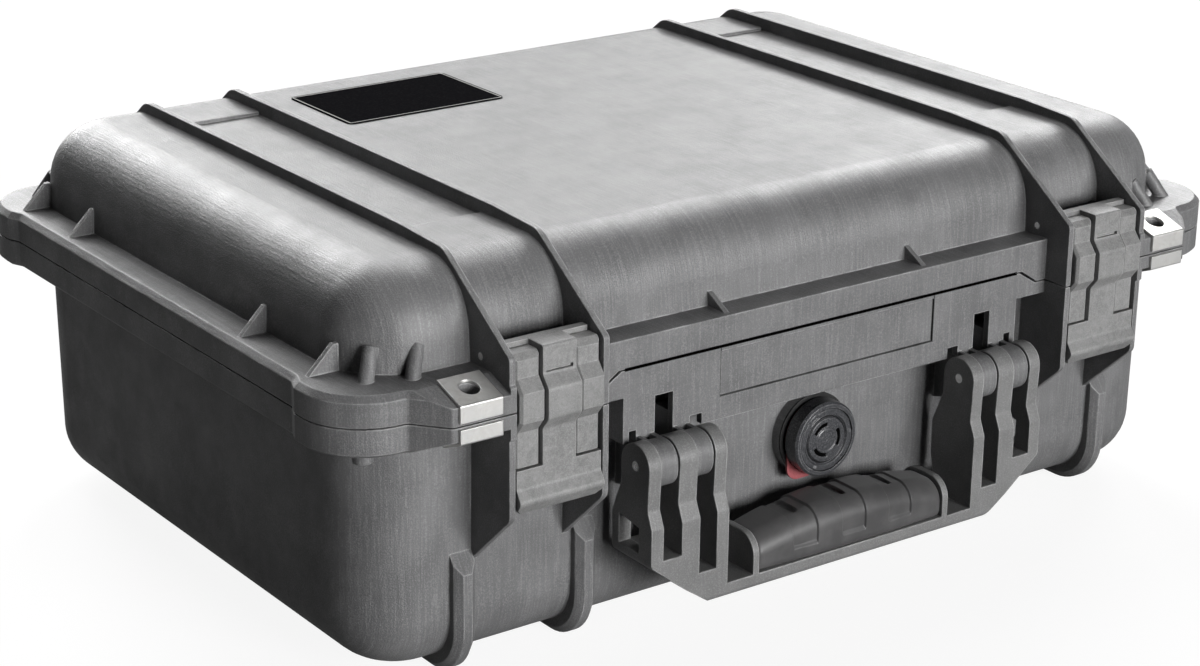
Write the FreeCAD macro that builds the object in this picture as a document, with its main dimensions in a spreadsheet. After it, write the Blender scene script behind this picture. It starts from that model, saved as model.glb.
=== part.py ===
import FreeCAD, Part

import math
import os

import Sketcher
from FreeCAD import Vector

# Hard case with two double-throw latches, a fold-down handle and a pressure valve.
# X runs to the right seen from the front, the front is -Y, and Z is up from the resting ribs.
# All lengths are millimetres and all angles degrees.

doc = FreeCAD.newDocument("hard_case")
sheet = doc.addObject("Spreadsheet::Sheet", "Sizes")
doc.recompute()


class Size:
    """A size that carries its value and the expression that binds it to the sheet."""

    def __init__(self, value, text):
        self.value = value
        self.text = text

    def joined(self, other, sign, value, swap=False):
        left, right = (as_size(other), self) if swap else (self, as_size(other))
        return Size(value, f"({left.text} {sign} {right.text})")

    def __add__(self, other):
        return self.joined(other, "+", self.value + as_size(other).value)

    def __radd__(self, other):
        return self.joined(other, "+", as_size(other).value + self.value, swap=True)

    def __sub__(self, other):
        return self.joined(other, "-", self.value - as_size(other).value)

    def __rsub__(self, other):
        return self.joined(other, "-", as_size(other).value - self.value, swap=True)

    def __mul__(self, other):
        return self.joined(other, "*", self.value * as_size(other).value)

    def __rmul__(self, other):
        return self.joined(other, "*", as_size(other).value * self.value, swap=True)

    def __truediv__(self, other):
        return self.joined(other, "/", self.value / as_size(other).value)

    def __neg__(self):
        return Size(-self.value, f"(-1 * {self.text})")


def as_size(number):
    return number if isinstance(number, Size) else Size(float(number), f"{number}")


ZERO = Size(0.0, "0")


class Sizes:
    """The driving dimensions, each one bound to a cell of the sheet under its own alias."""


SIZES = {
    # Case body
    "case_length": 470, "rim_width": 320, "seam_height": 121.4, "seam_gap": 0.6,
    "cavity_length": 425, "cavity_width": 284, "base_depth": 111, "lid_depth": 44, "wall": 4.5,
    "base_draft": 0.6, "lid_draft": 3, "corner_radius": 32, "floor_height": 5, "lid_height": 171,
    "base_edge_radius": 24, "lid_edge_radius": 26, "inner_edge": 12,
    # Rim
    "rim_corner_radius": 27, "rim_soft": 3, "side_step": 2.5, "corner_start": 121, "corner_run": 6,
    "base_flange": 11.5, "lid_flange": 12.3, "lid_flange_round": 2.5, "base_flange_round": 1.2,
    "drop_start": 106.9, "drop_run": 9.9, "drop_height": 6, "drop_depth": 5.5, "seal_offset": 10.5,
    "seal_corner_radius": 33, "seal_diameter": 5, "groove_depth": 7, "groove_clearance": 0.3,
    "seal_seat": 0.3, "tongue_width": 3, "tongue_height": 2,
    # Ribs
    "resting_rib_inner": 115.7, "resting_rib_outer": 173.7, "resting_rib_width": 10,
    "resting_rib_height": 5, "resting_rib_top": 48, "resting_rib_round": 3,
    "latch_rib_inner": 122.5, "latch_rib_outer": 166, "latch_rib_width": 2.7,
    "latch_rib_front": 173, "latch_rib_foot": 50, "latch_rib_corner": 77, "latch_rib_shoulder": 143,
    "latch_rib_round": 5, "lid_rib_top": 176, "lid_rib_bend": 127, "lid_rib_dip": 1.5,
    "lid_rib_flat": 95, "lid_rib_back": 120, "lid_rib_turn": 12, "lid_rib_fall": 13.5,
    "band_depth": 1.5, "band_front": 88, "band_back": 94,
    # Padlock lugs
    "lug_outer": 194.5, "lug_front": 174, "lug_flare": 11.5, "lug_nose": 115.4,
    "lug_lid_back": 134.3, "lug_lid_front": 129.2, "lock_hole": 8.5, "lock_hole_x": 182.5,
    "lock_hole_y": 166.5, "lock_plate_width": 19, "lock_plate_thick": 1.2, "lock_plate_back": 159,
    "lock_plate_seat": 0.15, "lock_plate_lip": 6.2, "plate_fold": 0.8, "base_plate_back": 163,
    # Gussets and bosses
    "gusset_thick": 2.4, "gusset_height": 11, "gusset_reach": 11, "gusset_front": 125,
    "gusset_middle": 72.5, "gusset_rear": 79, "lip_gusset_x": 53, "lip_gusset_height": 6,
    "boss_radius": 3, "boss_height": 14, "boss_lean": 35, "boss_side_x": 214.5, "boss_side_y": 144,
    "boss_front_x": 198, "boss_front_y": 150.5, "drip_radius": 4, "drip_height": 5, "drip_x": 217.5,
    "drip_y": 147,
    # Front panel
    "panel_half": 106, "panel_bottom": 90, "panel_wall": 3.2, "panel_web": 2.5, "panel_web_x": 58,
    "plate_half": 57.4, "plate_bottom": 100, "plate_top": 119.4, "plate_depth": 0.8,
    "notch_top": 94.8, "window_top": 107.4,
    # Hinges
    "hinge_y": 169.5, "hinge_radius": 8, "hinge_centre": 144.25, "hinge_width": 68,
    "hinge_count": 5, "hinge_gap": 0.6, "hinge_pin": 4, "pin_play": 0.05,
    "hinge_web_low": 17.4, "hinge_web_drop": 9, "hinge_web_rise": 18,
    # Handle
    "handle_pin_y": 168, "handle_pin_z": 83.5, "handle_pin": 4, "knuckle_radius": 8.5,
    "ear_inner": 66.7, "knuckle_inner": 72.7, "prong_inner": 81.4, "prong_outer": 90.4,
    "knuckle_outer": 99.6, "ear_outer": 105.6, "prong_gap": 0.8, "head_radius": 9.3,
    "arm_front": 176.5, "arm_jog_top": 66.5, "arm_jog_low": 59.5, "arm_jog": 3, "arm_back": 153,
    "arm_back_top": 74, "arm_back_flare": 60, "arm_back_low": 45, "arm_foot_back": 158,
    "handle_bottom": 20.5, "handle_round": 3, "slot_outer_bottom": 45.2, "slot_inner_bottom": 35.2,
    "chamfer_height": 23, "chamfer_mid_x": 88, "chamfer_mid_rise": 9, "chamfer_end_x": 75,
    "ear_window_top": 60, "ear_window_bottom": 47, "ear_window_front": 171,
    "ear_window_back": 157.5, "bar_top": 27, "bar_back": 158, "core_front": 174, "core_back": 160,
    "core_top": 37, "collar_width": 3.4, "collar_rim": 1.4,
    # Grip
    "grip_half": 49.9, "grip_front": 178.8, "grip_back": 154, "grip_end_top": 42.5,
    "grip_mid_top": 48.5, "grip_swell": 1.6, "grip_round": 9, "grip_low_round": 3, "grip_seat": 0.1,
    "grip_groove": 1.2, "grip_groove_depth": 0.9, "grip_groove_pitch": 24,
    # Latch
    "latch_centre": 145.75, "latch_width": 39.4, "latch_column": 15.4, "latch_play": 0.5,
    "latch_back": 158.8, "bay_front": 157, "hook_face": 176, "hook_recess": 172, "hook_top": 143.5,
    "hook_bottom": 97.6, "hook_notch": 163.6, "hook_arm": 138, "hook_plate": 4.2,
    "hook_plate_top": 131.5, "hook_tip": 152, "hook_tip_top": 109.2, "hook_tip_thick": 5,
    "ear_width": 5, "latch_ear_radius": 3.5, "latch_pin_y": 153.3, "latch_pin_z": 138.4,
    "latch_pin": 3, "latch_soft": 1.2, "lever_pin": 3, "lever_column_back": 163.8,
    "lever_lip_foot": 172, "lever_pin_y": 167.5, "lever_pin_z": 134, "lever_face": 177,
    "lever_recess": 173, "lever_top": 145.5, "lever_bottom": 78.5, "lever_strip": 3,
    "lever_strip_back": 158.5, "lip_reach": 176.2, "lip_height": 84, "bulge_low": 117,
    "bulge_high": 129, "bulge_run": 5, "latch_round": 2.5, "latch_slit": 0.7, "pull_slot_z": 134.5,
    "pull_slot_height": 1.5, "pull_slot_half": 6.2, "pull_slot_depth": 1.5,
    # Valve
    "valve_z": 68, "valve_radius": 16.5, "valve_face": 160.5, "valve_bezel": 2.4,
    "valve_bezel_depth": 1.2, "valve_shank": 9, "valve_hole_play": 0.4, "valve_seal_radius": 15.5,
    "valve_seal_thick": 1.6, "valve_tab_width": 16, "valve_tab_drop": 18.5, "nut_across": 26,
    "nut_thick": 6, "valve_seat": 0.3, "valve_bore": 5, "valve_round": 1, "valve_cap": 5,
    "valve_thread_play": 0.1, "valve_tab_x": 7, "nut_inset": 0.8, "vent_thick": 0.8,
    "valve_land": 151.5, "valve_land_radius": 18,
    # Lid label
    "label_x": 61, "label_y": 79, "label_length": 83, "label_width": 54, "label_thick": 0.5,
    "label_round": 3,
    # Cutting
    "overrun": 2,
}

s = Sizes()
for row, (alias, value) in enumerate(SIZES.items(), start=1):
    sheet.set(f"A{row}", alias)
    sheet.set(f"B{row}", str(value))
    sheet.setAlias(f"B{row}", alias)
    setattr(s, alias, Size(float(value), f"Sizes.{alias}"))
doc.recompute()

seam = s.seam_height
base_top = seam - s.seam_gap / 2
lid_bottom = seam + s.seam_gap / 2
base_floor = seam - s.base_depth
lid_ceiling = seam + s.lid_depth
rim_half_x = s.case_length / 2
rim_half_y = s.rim_width / 2
wall_half_x = s.cavity_length / 2 + s.wall
wall_half_y = s.cavity_width / 2 + s.wall
lid_ledge = lid_bottom + s.lid_flange
base_ledge = base_top - s.base_flange
drop_seam = seam - s.drop_height
drop_back = rim_half_y - s.drop_depth
inside_front = -(wall_half_y - s.wall / 2)
nut_face = -s.cavity_width / 2 + s.nut_inset

# The origin plane that a profile lies on, for the direction that it is pushed along.
PLANES = {"X": "YZ_Plane", "Y": "XZ_Plane", "Z": "XY_Plane"}


def new_body(label):
    body = doc.addObject("PartDesign::Body", label)
    body.Label = label
    return body


def new_sketch(body, axis, place):
    """A sketch square to the axis at a place along it. The plane for Y faces -Y."""
    sketch = body.newObject("Sketcher::SketchObject", "Sketch")
    plane = [f for f in body.Origin.OriginFeatures if f.Role == PLANES[axis]][0]
    sketch.AttachmentSupport = [(plane, "")]
    sketch.MapMode = "FlatFace"
    offset = -place if axis == "Y" else place
    sketch.setExpression(".AttachmentOffset.Base.z", offset.text)
    return sketch


def place_point(rules, bound, geometry, position, u, v):
    """Holds a point at u, v from the sketch's origin."""
    for kind, value, line in (("DistanceX", u, -2), ("DistanceY", v, -1)):
        if value is ZERO:
            rules.append(Sketcher.Constraint("PointOnObject", geometry, position, line))
        else:
            bound.append((len(rules), value))
            rules.append(Sketcher.Constraint(kind, -1, 1, geometry, position, value.value))


def draw_outline(sketch, corners):
    """A closed outline. Each corner is (u, v) or, where it is rounded, (u, v, radius)."""
    spots = [Vector(as_size(c[0]).value, as_size(c[1]).value, 0) for c in corners]
    count = len(corners)
    entries, exits, arcs = [], [], []
    for i in range(count):
        spot = spots[i]
        if len(corners[i]) == 2:
            entries.append(spot)
            exits.append(spot)
            arcs.append(None)
            continue
        before = (spots[i - 1] - spot).normalize()
        after = (spots[(i + 1) % count] - spot).normalize()
        half = before.getAngle(after) / 2
        radius = corners[i][2].value
        entries.append(spot + before * (radius / math.tan(half)))
        exits.append(spot + after * (radius / math.tan(half)))
        centre = spot + (before + after).normalize() * (radius / math.sin(half))
        left_turn = before.cross(after).z < 0
        arcs.append((centre, radius, left_turn))
    first = sketch.GeometryCount
    shapes, rules, bound = [], [], []
    for i in range(count):
        shapes.append(Part.LineSegment(exits[i], entries[(i + 1) % count]))
    construction = []
    for i in range(count):
        line_in, line_out = first + (i - 1) % count, first + i
        u, v = as_size(corners[i][0]), as_size(corners[i][1])
        if arcs[i] is None:
            rules.append(Sketcher.Constraint("Coincident", line_in, 2, line_out, 1))
            place_point(rules, bound, line_out, 1, u, v)
            continue
        centre, radius, left_turn = arcs[i]
        start, end = (entries[i], exits[i]) if left_turn else (exits[i], entries[i])
        angles = [math.atan2(p.y - centre.y, p.x - centre.x) for p in (start, end)]
        circle = Part.Circle(centre, Vector(0, 0, 1), radius)
        arc, corner = first + len(shapes), first + len(shapes) + 1
        shapes.append(Part.ArcOfCircle(circle, angles[0], angles[1]))
        shapes.append(Part.Point(spots[i]))
        construction.append(corner)
        near, far = (1, 2) if left_turn else (2, 1)
        rules.append(Sketcher.Constraint("Tangent", line_in, 2, arc, near))
        rules.append(Sketcher.Constraint("Tangent", arc, far, line_out, 1))
        rules.append(Sketcher.Constraint("PointOnObject", corner, 1, line_in))
        rules.append(Sketcher.Constraint("PointOnObject", corner, 1, line_out))
        bound.append((len(rules), corners[i][2]))
        rules.append(Sketcher.Constraint("Radius", arc, radius))
        place_point(rules, bound, corner, 1, u, v)
    sketch.addGeometry(shapes, False)
    for point in construction:
        sketch.setConstruction(point, True)
    bind(sketch, rules, bound)


def draw_circle(sketch, u, v, radius):
    u, v = as_size(u), as_size(v)
    ring = sketch.addGeometry(Part.Circle(Vector(u.value, v.value, 0), Vector(0, 0, 1), radius.value))
    rules, bound = [], []
    place_point(rules, bound, ring, 3, u, v)
    bound.append((len(rules), radius))
    rules.append(Sketcher.Constraint("Radius", ring, radius.value))
    bind(sketch, rules, bound)


def bind(sketch, rules, bound):
    """Adds the constraints and ties those that hold a size to the sheet."""
    first = sketch.ConstraintCount
    sketch.addConstraint(rules)
    for index, size in bound:
        sketch.setExpression(f"Constraints[{first + index}]", size.text)


def push(body, kind, axis, low, high, draw):
    """A pad or pocket that fills from low to high along the axis."""
    sketch = new_sketch(body, axis, high if axis == "Y" else low)
    draw(sketch)
    feature = body.newObject(f"PartDesign::{kind}", kind)
    feature.Profile = sketch
    feature.Type = "Length"
    feature.setExpression("Length", (high - low).text)
    feature.Reversed = kind == "Pocket"
    sketch.Visibility = False
    body.Tip = feature
    return feature


def add(body, axis, low, high, corners):
    return push(body, "Pad", axis, low, high, lambda sketch: draw_outline(sketch, corners))


def cut(body, axis, low, high, corners):
    return push(body, "Pocket", axis, low, high, lambda sketch: draw_outline(sketch, corners))


def add_round(body, axis, low, high, u, v, radius):
    return push(body, "Pad", axis, low, high, lambda sketch: draw_circle(sketch, u, v, radius))


def bore(body, axis, low, high, u, v, radius):
    return push(body, "Pocket", axis, low, high, lambda sketch: draw_circle(sketch, u, v, radius))


TURNS = {
    "X": FreeCAD.Rotation(Vector(0, 1, 0), Vector(0, 0, 1), Vector(1, 0, 0), "ZXY"),
    "Y": FreeCAD.Rotation(Vector(1, 0, 0), Vector(0, 0, 1), Vector(0, -1, 0), "ZXY"),
    "Z": FreeCAD.Rotation(),
}


def slab(axis, low, high, *outlines):
    """A solid of one outline, or one with holes, that fills from low to high along the axis."""
    sketch = doc.addObject("Sketcher::SketchObject", "Profile")
    sketch.Placement = FreeCAD.Placement(Vector(), TURNS[axis])
    start = high if axis == "Y" else low
    sketch.setExpression(f"Placement.Base.{axis.lower()}", start.text)
    for corners in outlines:
        draw_outline(sketch, corners)
    solid = doc.addObject("Part::Extrusion", "Slab")
    solid.Base = sketch
    solid.DirMode = "Normal"
    solid.Solid = True
    solid.setExpression("LengthFwd", (high - low).text)
    return solid


def rod(axis, low, high, u, v, radius):
    """A round solid along the axis, at u, v in the same plane as an outline for that axis."""
    solid = doc.addObject("Part::Cylinder", "Rod")
    start = high if axis == "Y" else low
    places = {"X": (start, u, v), "Y": (u, start, v), "Z": (u, v, start)}[axis]
    solid.Placement = FreeCAD.Placement(Vector(), TURNS[axis])
    for letter, place in zip("xyz", places):
        solid.setExpression(f"Placement.Base.{letter}", as_size(place).text)
    solid.setExpression("Radius", radius.text)
    solid.setExpression("Height", (high - low).text)
    return solid


def join(label, solids):
    if len(solids) == 1:
        return solids[0]
    joined = doc.addObject("Part::MultiFuse", label)
    joined.Shapes = solids
    return joined


def combine(label, solids, tools):
    """One moulding: the solids joined, less the tools joined."""
    piece = doc.addObject("Part::Cut", label)
    piece.Base = join(f"{label}_solids", solids)
    piece.Tool = join(f"{label}_tools", tools)
    piece.Refine = True
    piece.Label = label
    return piece


def box(half_x, half_y, radius):
    """The corners of a rounded rectangle round the origin."""
    return [
        (-half_x, -half_y, radius), (half_x, -half_y, radius),
        (half_x, half_y, radius), (-half_x, half_y, radius),
    ]


def loft(body, axis, sections):
    """A ruled loft through outlines, each given with its place along the axis."""
    sketches = []
    for place, corners in sections:
        sketch = new_sketch(body, axis, place)
        draw_outline(sketch, corners)
        sketch.Visibility = False
        sketches.append(sketch)
    feature = body.newObject("PartDesign::AdditiveLoft", "Loft")
    feature.Profile = sketches[0]
    feature.Sections = sketches[1:]
    feature.Ruled = True
    body.Tip = feature


def soften(body, kind, size, wanted):
    """A fillet or chamfer on the edges of the body so far that pass the test."""
    doc.recompute()
    base = body.Tip
    names = [f"Edge{i + 1}" for i, edge in enumerate(base.Shape.Edges) if wanted(edge.BoundBox)]
    feature = body.newObject(f"PartDesign::{kind}", kind)
    feature.Base = (base, names)
    feature.setExpression("Radius" if kind == "Fillet" else "Size", size.text)
    body.Tip = feature
    return feature


def flip(corners, side):
    """An outline mirrored in u for the side that is -1 or +1."""
    return [(side * c[0], *c[1:]) for c in corners]


def span(side, low, high):
    """The stretch from low to high on the right, or its mirror image on the left."""
    return (low, high) if side > 0 else (-high, -low)


def rim_outline():
    """The rim seen from above: stepped corners, padlock lugs and recessed latch bays."""
    side = [
        (s.latch_rib_inner, -rim_half_y),
        (s.latch_rib_inner, -s.bay_front),
        (s.latch_rib_outer, -s.bay_front),
        (s.latch_rib_outer, -s.lug_front),
        (s.lug_outer, -s.lug_front, s.rim_soft),
        (s.lug_outer + s.lug_flare, -rim_half_y, s.rim_soft),
        (rim_half_x, -rim_half_y, s.rim_corner_radius),
        (rim_half_x, -(s.corner_start + s.corner_run), s.rim_soft),
        (rim_half_x - s.side_step, -s.corner_start, s.rim_soft),
        (rim_half_x - s.side_step, s.corner_start, s.rim_soft),
        (rim_half_x, s.corner_start + s.corner_run, s.rim_soft),
        (rim_half_x, rim_half_y, s.rim_corner_radius),
    ]
    return side + flip(side[::-1], -1)


def is_level(height):
    """A test for edges that lie at a height."""
    return lambda b: abs(b.ZMin - height.value) < 0.01 and abs(b.ZMax - height.value) < 0.01


def drafted_block(label, low, high, half_x, half_y, radius, draft, mouth):
    """A block rounded in plan whose walls lean in away from its mouth."""
    body = new_body(label)
    add(body, "Z", low, high, box(half_x, half_y, radius))
    doc.recompute()
    block = body.Tip
    faces = [(f"Face{i + 1}", face.BoundBox) for i, face in enumerate(block.Shape.Faces)]
    lean = body.newObject("PartDesign::Draft", "Draft")
    lean.Base = (block, [name for name, b in faces if b.ZLength > 1])
    level = is_level(mouth)
    lean.NeutralPlane = (block, [name for name, b in faces if level(b)])
    lean.setExpression("Angle", draft.text)
    lean.Reversed = mouth is high
    body.Tip = lean
    return body


def resting_rib(side, middle):
    """A rounded rib that wraps round the front, the bottom and the back."""
    half, top = s.resting_rib_width / 2, s.resting_rib_top
    reach = wall_half_y + s.resting_rib_height
    inside = wall_half_y - s.wall / 2
    place = side * middle
    body = new_body("resting_rib")
    add(body, "X", place - half, place + half, [
        (-reach, ZERO, s.base_edge_radius), (reach, ZERO, s.base_edge_radius),
        (reach, top), (inside, top + s.resting_rib_height * 2),
        (-inside, top + s.resting_rib_height * 2), (-reach, top),
    ])
    flat = (place - half).value, (place + half).value
    highest, deepest = top.value + 1, inside.value

    def on_outside(b):
        on_face = b.XLength < 0.01 and min(abs(b.XMin - x) for x in flat) < 0.01
        return on_face and b.ZMax < highest and (b.ZMin < 1 or abs(b.YMin) > deepest)

    soften(body, "Chamfer", s.resting_rib_round, on_outside)
    return body


def hinge_knuckles(turns, corners):
    """The knuckles of both hinges at those turns in the row."""
    pitch = s.hinge_width / s.hinge_count
    knuckles = []
    for side in (-1, 1):
        start = side * s.hinge_centre - s.hinge_width / 2
        for turn in turns:
            low = start + turn * pitch + s.hinge_gap / 2
            knuckles.append(slab("X", low, low + pitch - s.hinge_gap, corners))
    return knuckles


def hinge_holes():
    holes = []
    for side in (-1, 1):
        low = side * s.hinge_centre - s.hinge_width / 2 - s.overrun
        high = side * s.hinge_centre + s.hinge_width / 2 + s.overrun
        holes.append(rod("X", low, high, s.hinge_y, seam, s.hinge_pin / 2 + s.pin_play))
    return holes


def flange(label, low, high, rounded, size):
    """The rim that runs round a shell, with the outer edges at one height rounded."""
    body = new_body(label)
    add(body, "Z", low, high, rim_outline())
    level, bay = is_level(rounded), s.latch_rib_outer.value + 1
    soften(body, "Chamfer", size, lambda b: level(b) and (abs(b.Center.x) > bay or b.YMin > 0))
    return body


def rim_band(low, high, offset, width):
    """A band that follows the rim between the cavity and the outside."""
    half_x, half_y = s.cavity_length / 2 + offset, s.cavity_width / 2 + offset
    outer = box(half_x + width / 2, half_y + width / 2, s.seal_corner_radius + width / 2)
    inner = box(half_x - width / 2, half_y - width / 2, s.seal_corner_radius - width / 2)
    return slab("Z", low, high, outer, inner)


def base_shell():
    tub = drafted_block("tub", s.floor_height, base_top, wall_half_x, wall_half_y,
                        s.corner_radius, s.base_draft, base_top)
    foot = is_level(s.floor_height)
    soften(tub, "Fillet", s.base_edge_radius, foot)
    solids = [tub, flange("base_rim", base_ledge, base_top, base_ledge, s.base_flange_round)]
    for side in (-1, 1):
        for middle in (s.resting_rib_inner, s.resting_rib_outer):
            solids.append(resting_rib(side, middle))
    radius = s.hinge_radius
    solids += hinge_knuckles((0, 2, 4), [
        (rim_half_y - s.wall, base_top), (s.hinge_y - radius, base_top),
        (s.hinge_y - radius, seam + radius, radius * 0.97),
        (s.hinge_y + radius, seam + radius, radius * 0.97),
        (s.hinge_y + radius, seam - s.hinge_web_drop, radius / 2),
        (rim_half_y - s.wall, seam - s.hinge_web_low),
    ])
    solids.append(rim_band(base_top - s.wall, base_top + s.tongue_height, s.seal_offset, s.tongue_width))
    solids.append(rod("Y", -s.valve_land, inside_front, ZERO, s.valve_z, s.valve_land_radius))
    solids += panel_solids() + knuckle_solids()
    inner = s.corner_radius - s.wall
    cavity = new_body("base_cavity")
    add(cavity, "Z", base_floor, base_top + s.overrun, box(s.cavity_length / 2, s.cavity_width / 2, inner))
    soften(cavity, "Chamfer", s.inner_edge, is_level(base_floor))
    tools = [cavity] + hinge_holes() + panel_tools() + knuckle_tools()
    tools.append(rod("Y", -s.valve_land - s.overrun, inside_front + s.wall,
                     ZERO, s.valve_z, s.valve_shank + s.valve_hole_play))
    for side in (-1, 1):
        solids += base_side_solids(side)
        tools += base_side_tools(side)
    return combine("base_shell", solids, tools)


def base_side_solids(side):
    """Latch ribs and the small moulded bosses under the rim's corners."""
    solids = []
    for near, top in ((s.latch_rib_inner, drop_seam - s.seam_gap / 2), (s.latch_rib_outer, base_top)):
        low, high = span(side, near, near + s.latch_rib_width)
        solids.append(slab("X", low, high, [
            (inside_front, top), (-s.latch_rib_front, top),
            (-s.latch_rib_front, s.latch_rib_corner, s.latch_rib_round),
            (inside_front, s.latch_rib_foot),
        ]))
    for end in (-1, 1):
        solids.append(rod("Z", base_ledge - s.drip_height, base_ledge + s.base_flange_round * 2,
                          side * s.drip_x, end * s.drip_y, s.drip_radius))
    return solids


def base_side_tools(side):
    """The lug's sloped underside, the padlock hole and the dropped rim by the latch."""
    low, high = span(side, s.latch_rib_outer + s.latch_rib_width, s.lug_outer + s.lug_flare)
    front = -(s.lug_front + s.overrun)
    wedge = slab("X", low, high, [
        (front, base_ledge - s.overrun), (-rim_half_y, base_ledge - s.overrun),
        (-rim_half_y, base_ledge), (-s.lug_front, s.lug_nose), (front, s.lug_nose),
    ])
    hole = rod("Z", base_ledge - s.overrun, base_top + s.overrun,
               side * s.lock_hole_x, -s.lock_hole_y, s.lock_hole / 2)
    top, low = base_top + s.overrun, drop_seam - s.seam_gap / 2
    slope = s.drop_run * s.overrun / s.drop_height
    far = s.latch_rib_inner + s.latch_rib_width + s.seam_gap
    drop = slab("Y", -rim_half_y - s.overrun, -drop_back, flip([
        (s.drop_start - slope, top), (far, top), (far, low), (s.drop_start + s.drop_run, low),
    ], side))
    return [wedge, hole, drop]


def panel_solids():
    """The skirt under the front rim and the webs behind it."""
    front = -rim_half_y
    solids = [slab("Y", front, front + s.panel_wall, [
        (-s.panel_half, s.panel_bottom), (s.panel_half, s.panel_bottom),
        (s.panel_half, base_ledge + s.overrun), (-s.panel_half, base_ledge + s.overrun),
    ])]
    webs = (-s.panel_half, -s.panel_web_x, s.panel_web_x - s.panel_web, s.panel_half - s.panel_web)
    for start in webs:
        solids.append(slab("X", start, start + s.panel_web, [
            (front + s.panel_wall / 2, base_ledge + s.overrun), (inside_front, base_ledge + s.overrun),
            (inside_front, s.panel_bottom), (front + s.panel_wall / 2, s.panel_bottom),
        ]))
    return solids


def panel_tools():
    """The bare plate recess, and room for the handle's ears and prongs in the skirt."""
    front, back = -rim_half_y - s.overrun, -rim_half_y + s.panel_wall + s.overrun
    tools = [slab("Y", front, -rim_half_y + s.plate_depth, [
        (-s.plate_half, s.plate_bottom), (s.plate_half, s.plate_bottom),
        (s.plate_half, s.plate_top), (-s.plate_half, s.plate_top),
    ])]
    rooms = (
        (s.ear_inner, s.knuckle_inner, s.notch_top),
        (s.prong_inner, s.prong_outer, s.window_top),
        (s.knuckle_outer, s.ear_outer - s.panel_web, s.notch_top),
    )
    for side in (-1, 1):
        for near, far, top in rooms:
            tools.append(slab("Y", front, back, flip([
                (near, s.panel_bottom - s.overrun), (far, s.panel_bottom - s.overrun),
                (far, top), (near, top),
            ], side)))
    return tools


def knuckle_solids():
    """Two knuckles a side that stand under the skirt and carry the handle's pins."""
    y, z, radius = -s.handle_pin_y, s.handle_pin_z, s.knuckle_radius
    solids = []
    for side in (-1, 1):
        for near, far in ((s.knuckle_inner, s.prong_inner), (s.prong_outer, s.knuckle_outer)):
            low, high = span(side, near + s.prong_gap / 2, far - s.prong_gap / 2)
            solids.append(slab("X", low, high, [
                (y - radius, z - radius, radius * 0.97), (y - radius, z + radius, radius * 0.97),
                (-rim_half_y, z + radius), (-rim_half_y, s.notch_top + s.panel_wall),
                (inside_front, s.notch_top + s.panel_wall), (inside_front, z - radius * 2),
            ]))
    return solids


def knuckle_tools():
    """The pin holes and the cored squares in the knuckles' tops."""
    y, z, radius = -s.handle_pin_y, s.handle_pin_z, s.knuckle_radius
    tools = []
    for side in (-1, 1):
        low, high = span(side, s.ear_inner, s.ear_outer)
        tools.append(rod("X", low, high, y, z, s.handle_pin / 2 + s.pin_play))
        for near, far in ((s.knuckle_inner, s.prong_inner), (s.prong_outer, s.knuckle_outer)):
            low, high = span(side, near, far)
            quarter = (far - near) / 4
            tools.append(slab("Z", z + radius / 2, z + radius + s.overrun, [
                (low + quarter, -rim_half_y), (high - quarter, -rim_half_y),
                (high - quarter, y + radius / 3), (low + quarter, y + radius / 3),
            ]))
    return tools


def lid_shell():
    dome = drafted_block("dome", lid_bottom + s.wall, s.lid_height, wall_half_x, wall_half_y,
                         s.corner_radius, s.lid_draft, lid_bottom + s.wall)
    soften(dome, "Fillet", s.lid_edge_radius, is_level(s.lid_height))
    solids = [dome, flange("lid_rim", lid_bottom, lid_ledge, lid_ledge, s.lid_flange_round)]
    radius = s.hinge_radius
    solids += hinge_knuckles((1, 3), [
        (rim_half_y - s.wall, lid_bottom), (s.hinge_y - radius, lid_bottom),
        (s.hinge_y - radius, seam - radius, radius * 0.97),
        (s.hinge_y + radius, seam - radius, radius * 0.97),
        (s.hinge_y + radius, seam + s.hinge_web_drop, radius / 2),
        (rim_half_y - s.wall, seam + s.hinge_web_rise),
    ])
    inner = s.corner_radius - s.wall
    cavity = drafted_block("lid_cavity", lid_bottom - s.overrun, lid_ceiling, s.cavity_length / 2,
                           s.cavity_width / 2, inner, s.lid_draft, lid_bottom - s.overrun)
    soften(cavity, "Chamfer", s.inner_edge, is_level(lid_ceiling))
    groove_width = s.seal_diameter + 2 * s.groove_clearance
    tools = [cavity] + hinge_holes()
    tools.append(rim_band(lid_bottom - s.overrun, lid_bottom + s.groove_depth, s.seal_offset, groove_width))
    for side in (-1, 1):
        solids += lid_side_solids(side)
        tools += lid_side_tools(side)
    return combine("lid_shell", solids, tools)


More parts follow.
